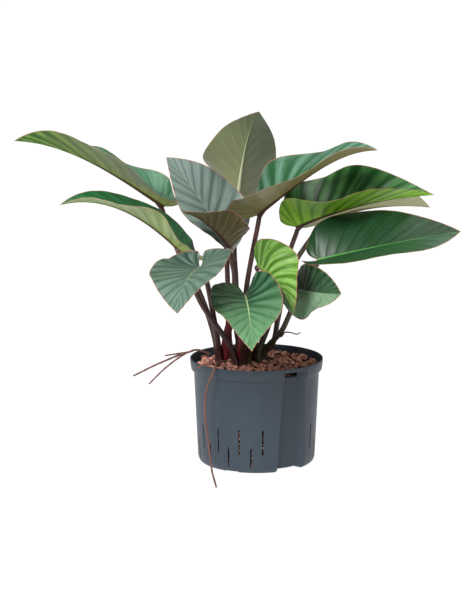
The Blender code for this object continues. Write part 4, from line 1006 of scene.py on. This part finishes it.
for sheath_name, (foot, tip, half_width) in SHEATHS.items():
    share = np.linspace(0, 1, SHEATH_RINGS)
    low = np.array([*foot, CROWN_TOP + GAP])
    path = low + (np.array(tip) - low) * share[:, None]
    path[:, 0] += 0.0012 * np.sin(np.pi * share)
    bulge = np.sin(np.pi * (0.22 + 0.78 * share)) ** 0.8
    side_angles = np.arange(SHEATH_SIDES) * 2 * np.pi / SHEATH_SIDES
    keels = 0.92 + 0.08 * np.abs(np.cos(side_angles)) ** 6
    fold = 1 - 0.10 * np.exp(-((side_angles - 4.4 - 0.5 * share[:, None]) / 0.16) ** 2)
    radii = np.maximum(half_width * bulge, 0.0005)[:, None] * keels * fold
    points, faces = closed_tube(tube_rings(path, radii, SHEATH_SIDES, (1, 0, 0), SHEATH_FLATNESS))
    dried = sheath_name == "dried"
    add_piece("bud_sheath_" + sheath_name, points, faces, [dried_skin if dried else red_skin],
              ["sheath_" + sheath_name],
              {"grain": grain_of(path, SHEATH_SIDES)}, sharp=60)


# Aerial roots
# Reddish-brown roots grow from the crowns over the rim and into the air, one of them down the wall to
# the floor. They are round, a little knotty, and thinner at the tips.
ROOT_RADIUS = 0.0021
ROOT_SIDES = 10
HANGING_ROOT = (
    (-0.062, -0.030, 0.1885), (-0.066, -0.060, 0.1930), (-0.0705, -0.088, 0.1970),
    (-0.0735, -0.099, 0.1930), (-0.080, -0.104, 0.177), (-0.086, -0.102, 0.163),
    (-0.0905, -0.100, 0.138), (-0.0915, -0.100, 0.105),
    (-0.087, -0.100, 0.068), (-0.083, -0.101, 0.035), (-0.0805, -0.105, 0.0145), (-0.079, -0.112, 0.0062),
    (-0.0775, -0.122, 0.0032), (-0.074, -0.160, 0.0023), (-0.071, -0.195, 0.0020),
)
SIDE_ROOT = (
    (-0.084, 0.030, 0.1885), (-0.098, 0.029, 0.1945), (-0.110, 0.028, 0.1970), (-0.122, 0.026, 0.1935),
    (-0.136, 0.022, 0.190), (-0.161, 0.012, 0.182), (-0.186, 0.006, 0.172), (-0.205, 0.003, 0.163),
    (-0.222, 0.000, 0.155),
)
SIDE_ROOT_BRANCHES = (
    ((-0.124, 0.026, 0.193), (-0.140, 0.030, 0.190), (-0.166, 0.030, 0.186)),
    ((-0.127, 0.025, 0.192), (-0.146, 0.016, 0.181), (-0.166, 0.010, 0.166), (-0.194, 0.004, 0.139)),
)
RIM_ROOT = (
    (-0.066, -0.066, 0.1885), (-0.075, -0.082, 0.1945), (-0.082, -0.088, 0.1968), (-0.094, -0.090, 0.1945),
    (-0.110, -0.091, 0.188),
)
STALK_ROOT = (
    (0.040, -0.008, 0.228), (0.045, -0.010, 0.230), (0.051, -0.010, 0.237), (0.060, -0.010, 0.237),
    (0.073, -0.010, 0.234), (0.079, -0.010, 0.237),
)

root_bark = skin_material("root_bark", "#4a2a26", "#80584a", "#946a58", 0.7, 3.2)


def root_tube(route, radius, towards):
    """A root along its route: a tube that thins to its tip, swollen here and there by three waves."""
    path = smooth_path(route, 14 * len(route))
    along = np.concatenate([[0], np.cumsum(np.linalg.norm(np.diff(path, axis=0), axis=1))])
    knots = 1 + 0.06 * np.sin(along * 410) + 0.05 * np.sin(along * 930 + 1)
    knots += 0.04 * np.sin(along * 1700 + 2)
    radii = radius * (1 - 0.25 * np.linspace(0, 1, len(path))) * knots
    points, faces = closed_tube(tube_rings(path, radii, ROOT_SIDES, towards))
    return points, faces, grain_of(path, ROOT_SIDES)


def add_root(name, limbs, stands_for):
    """One piece from the tubes of a root and its branches."""
    points, faces, grains = [], [], []
    for limb_points, limb_faces, grain in limbs:
        start = sum(len(part) for part in points)
        points.append(limb_points)
        grains.append(grain)
        faces += [[start + corner for corner in face] for face in limb_faces]
    add_piece(name, np.vstack(points), faces, [root_bark], stands_for,
              {"grain": np.vstack(grains)}, sharp=60)


add_root("aerial_root_hanging", [root_tube(HANGING_ROOT, ROOT_RADIUS, (1, 0, 0))], ["root_hanging"])
side_limbs = [root_tube(SIDE_ROOT, ROOT_RADIUS, (0, 1, 0))]
side_limbs += [root_tube(branch, ROOT_RADIUS * 0.85, (0, 1, 0)) for branch in SIDE_ROOT_BRANCHES]
add_root("aerial_root_side", side_limbs, ["root_side"])
add_root("aerial_root_rim", [root_tube(RIM_ROOT, ROOT_RADIUS * 0.9, (0, 0, 1))], ["root_rim"])
add_root("aerial_root_stalk", [root_tube(STALK_ROOT, ROOT_RADIUS * 0.65, (0, 1, 0))], [])


# Clay granules
# Fired clay granules, rounded, lumpy and porous, poured into the pot round the stems. Their
# undersides are painted darker, as painted shade. The upper ones lie loose, others show through the
# drain slits, and a core painted nearly black, as painted shade in the gaps, stands for the rest.
PEBBLE_STEP = 0.0112
PEBBLE_SIZES = (0.0036, 0.0064)
LAYERS = (0.1680, 0.1765)
CORE_TOP = 0.1670
CORE_RADIUS = 0.0900
CORE_SIDES = 72
SLIT_PEBBLES = 8
SLIT_PEBBLE_SIZES = (0.0026, 0.0037)
PEBBLE_SEED = 11
draw = np.random.default_rng(PEBBLE_SEED)


def pebble_shape():
    """Points and faces of a ball of 80 triangles."""
    ball = bmesh.new()
    bmesh.ops.create_icosphere(ball, subdivisions=2, radius=1.0)
    points = np.array([vertex.co[:] for vertex in ball.verts])
    faces = np.array([[vertex.index for vertex in face.verts] for face in ball.faces])
    ball.free()
    return points, faces


def pebbles(centres, sizes):
    """Points, faces and marks of lumpy balls: each is stretched along its own axes, pushed in and out
    by three slow waves of its own, and turned by a random rotation. A point's mark is two numbers
    drawn for its ball, then how far up on the ball it lies, from -1 to 1."""
    ball, ball_faces = pebble_shape()
    count = len(centres)
    waves = draw.normal(size=(count, 3, 3)) * 1.5
    phases = draw.uniform(0, 2 * np.pi, (count, 3, 1))
    lumps = 1 + 0.065 * np.sin(waves @ ball.T + phases).sum(1)
    stretch = draw.uniform(0.82, 1.14, (count, 1, 3))
    shapes = ball[None] * lumps[..., None] * stretch * np.asarray(sizes)[:, None, None]
    axes, _ = np.linalg.qr(draw.normal(size=(count, 3, 3)))
    points = shapes @ axes + np.asarray(centres)[:, None]
    faces = ball_faces[None] + np.arange(count)[:, None, None] * len(ball)
    tones_and_shade_heights = np.broadcast_to(draw.uniform(0, 1, (count, 1, 3)), points.shape).copy()
    # The third number, how far up the ball a point lies, drives the painted shade on the ball's underside.
    tones_and_shade_heights[..., 2] = (shapes @ axes)[..., 2] / np.asarray(sizes)[:, None]
    return points.reshape(-1, 3), faces.reshape(-1, 3), tones_and_shade_heights.reshape(-1, 3)


def pot_inner_reach(angle_from_front, height):
    """How far from the middle the inside of the wall is, less where the channel comes in."""
    half = CHANNEL_TOP_WIDTH / 2 + np.degrees(WALL / BODY_RADIUS) + 1
    off = np.abs((angle_from_front - CHANNEL_ANGLE + 180) % 360 - 180)
    wall = INNER_WALL_BASE[0] + inner_slope * (height - INNER_WALL_BASE[1])
    above_step = np.clip((height - 0.174) / 0.002, 0, 1) * 0.0045
    return np.where(off < half, wall - CHANNEL_DEPTH - 0.004, wall + above_step)


columns, rows = np.meshgrid(np.arange(-13, 14), np.arange(-14, 15))
centres = []
for layer, layer_height in enumerate(LAYERS):
    x = (columns + 0.5 * (rows % 2) + 0.3 * layer) * PEBBLE_STEP
    y = (rows * 0.866 + 0.4 * layer) * PEBBLE_STEP
    flat = np.stack([x.ravel(), y.ravel()], -1) + draw.uniform(-0.0024, 0.0024, (x.size, 2))
    heights = layer_height + draw.uniform(-0.0030, 0.0030, x.size)
    centres.append(np.column_stack([flat, heights]))
centres = np.vstack(centres)
sizes = draw.uniform(*PEBBLE_SIZES, len(centres))
angle = np.degrees(np.arctan2(centres[:, 1], centres[:, 0])) + 90
reach = pot_inner_reach(angle, centres[:, 2])
inside = np.hypot(centres[:, 0], centres[:, 1]) + sizes * 1.02 < reach
stems = []
for leaf in LEAVES.values():
    bearing = np.radians(leaf.bearing)
    stems.append(np.array(CROWNS[leaf.crown]) + STALK_RING * np.array([np.cos(bearing), np.sin(bearing)]))
clear = np.ones(len(centres), bool)
for stem in stems:
    clear &= np.hypot(*(centres[:, :2] - stem).T) > sizes * 0.75 + STALK_BASE
for foot, _, half_width in SHEATHS.values():
    clear &= np.hypot(*(centres[:, :2] - np.array(foot)).T) > sizes * 0.7 + half_width * 0.7
kept_ones = inside & clear
centres, sizes = centres[kept_ones], sizes[kept_ones]

slit_centres = []
for number, slit_angle in enumerate(slit_angles):
    low, high = slit_ends(number)
    heights = np.linspace(low - 0.001, high + 0.001, SLIT_PEBBLES)
    heights = heights + draw.uniform(-0.0016, 0.0016, SLIT_PEBBLES)
    turn = np.radians(slit_angle - 90 + draw.uniform(-1.6, 1.6, SLIT_PEBBLES))
    wall = INNER_WALL_BASE[0] + inner_slope * (heights - INNER_WALL_BASE[1])
    distance = np.minimum(wall, 0.1032 + 0.2 * (heights - 0.014)) - 0.0030
    slit_centres.append(np.column_stack([distance * np.cos(turn), distance * np.sin(turn), heights]))
slit_centres = np.vstack(slit_centres)
slit_centres[:, 2] = np.maximum(slit_centres[:, 2], FLOOR_TOP + 0.0046)
slit_sizes = draw.uniform(*SLIT_PEBBLE_SIZES, len(slit_centres))

clay, tree, shader = new_material("clay", 0.9)
place = add_node(tree, "TexCoord", {}).outputs["Object"]
tone_and_shade_mark = add_node(tree, "Attribute", {}, attribute_name="tone").outputs["Vector"]
tones_and_shade_heights = add_node(tree, "SeparateXYZ", {0: tone_and_shade_mark}).outputs
spots = noise(tree, place, 260, 5, 0.65)
tone = mix(tree, tones_and_shade_heights[0], colour("#8a4a3c"), colour("#d68e78"))
tone = mix(tree, ramp(tree, spots, 0.42, 0.68, 0.0, 0.7), tone, colour("#e0b0a0"))
pores = ramp(tree, noise(tree, place, 420, 4, 0.7), 0.54, 0.68, 0.0, 0.9)
tone = mix(tree, pores, tone, colour("#33191a"))
# Painted shade: each granule darkens towards its underside.
tone = mix(tree, ramp(tree, tones_and_shade_heights[2], -0.1, 0.65, 0.95, 0.0), tone, colour("#2a1514"))
tree.links.new(tone, shader.inputs["Base Color"])
bump(tree, shader, noise(tree, place, 520, 5, 0.7), 0.0011, 1.0)

all_centres = np.vstack([centres, slit_centres])
all_sizes = np.concatenate([sizes, slit_sizes])
points, faces, tone_and_shade_marks = pebbles(all_centres, all_sizes)
add_piece("granules", points, faces.tolist(), [clay], ["clay_bed"], {"tone": tone_and_shade_marks},
          sharp=180)

# The core's near-black colour is painted shade in the gaps between the granules.
painted_shade_core, tree, shader = new_material("painted_shade_core", 0.95)
place = add_node(tree, "TexCoord", {}).outputs["Object"]
lumps = ramp(tree, noise(tree, place, 160, 4, 0.7), 0.4, 0.65)
tone = mix(tree, lumps, colour("#120a09"), colour("#34201c"))
tree.links.new(tone, shader.inputs["Base Color"])
bump(tree, shader, noise(tree, place, 240, 4, 0.6), 0.002, 1.0)
core_profile = np.array([(0.0004, FLOOR_TOP + 0.001), (CORE_RADIUS - 0.004, FLOOR_TOP + 0.001),
                         (CORE_RADIUS, 0.012), (CORE_RADIUS, 0.090), (CORE_RADIUS, CORE_TOP - 0.003),
                         (CORE_RADIUS - 0.003, CORE_TOP), (0.0004, CORE_TOP)])
core_angles = np.arange(CORE_SIDES) * 2 * np.pi / CORE_SIDES
core_heights = np.broadcast_to(core_profile[:, 1:], (len(core_profile), CORE_SIDES))
core_rings = np.stack([core_profile[:, :1] * np.cos(core_angles),
                       core_profile[:, :1] * np.sin(core_angles), core_heights], -1)
core_points, core_faces = closed_tube(core_rings)
add_piece("granule_core", core_points, core_faces, [painted_shade_core], ["clay_bed"])
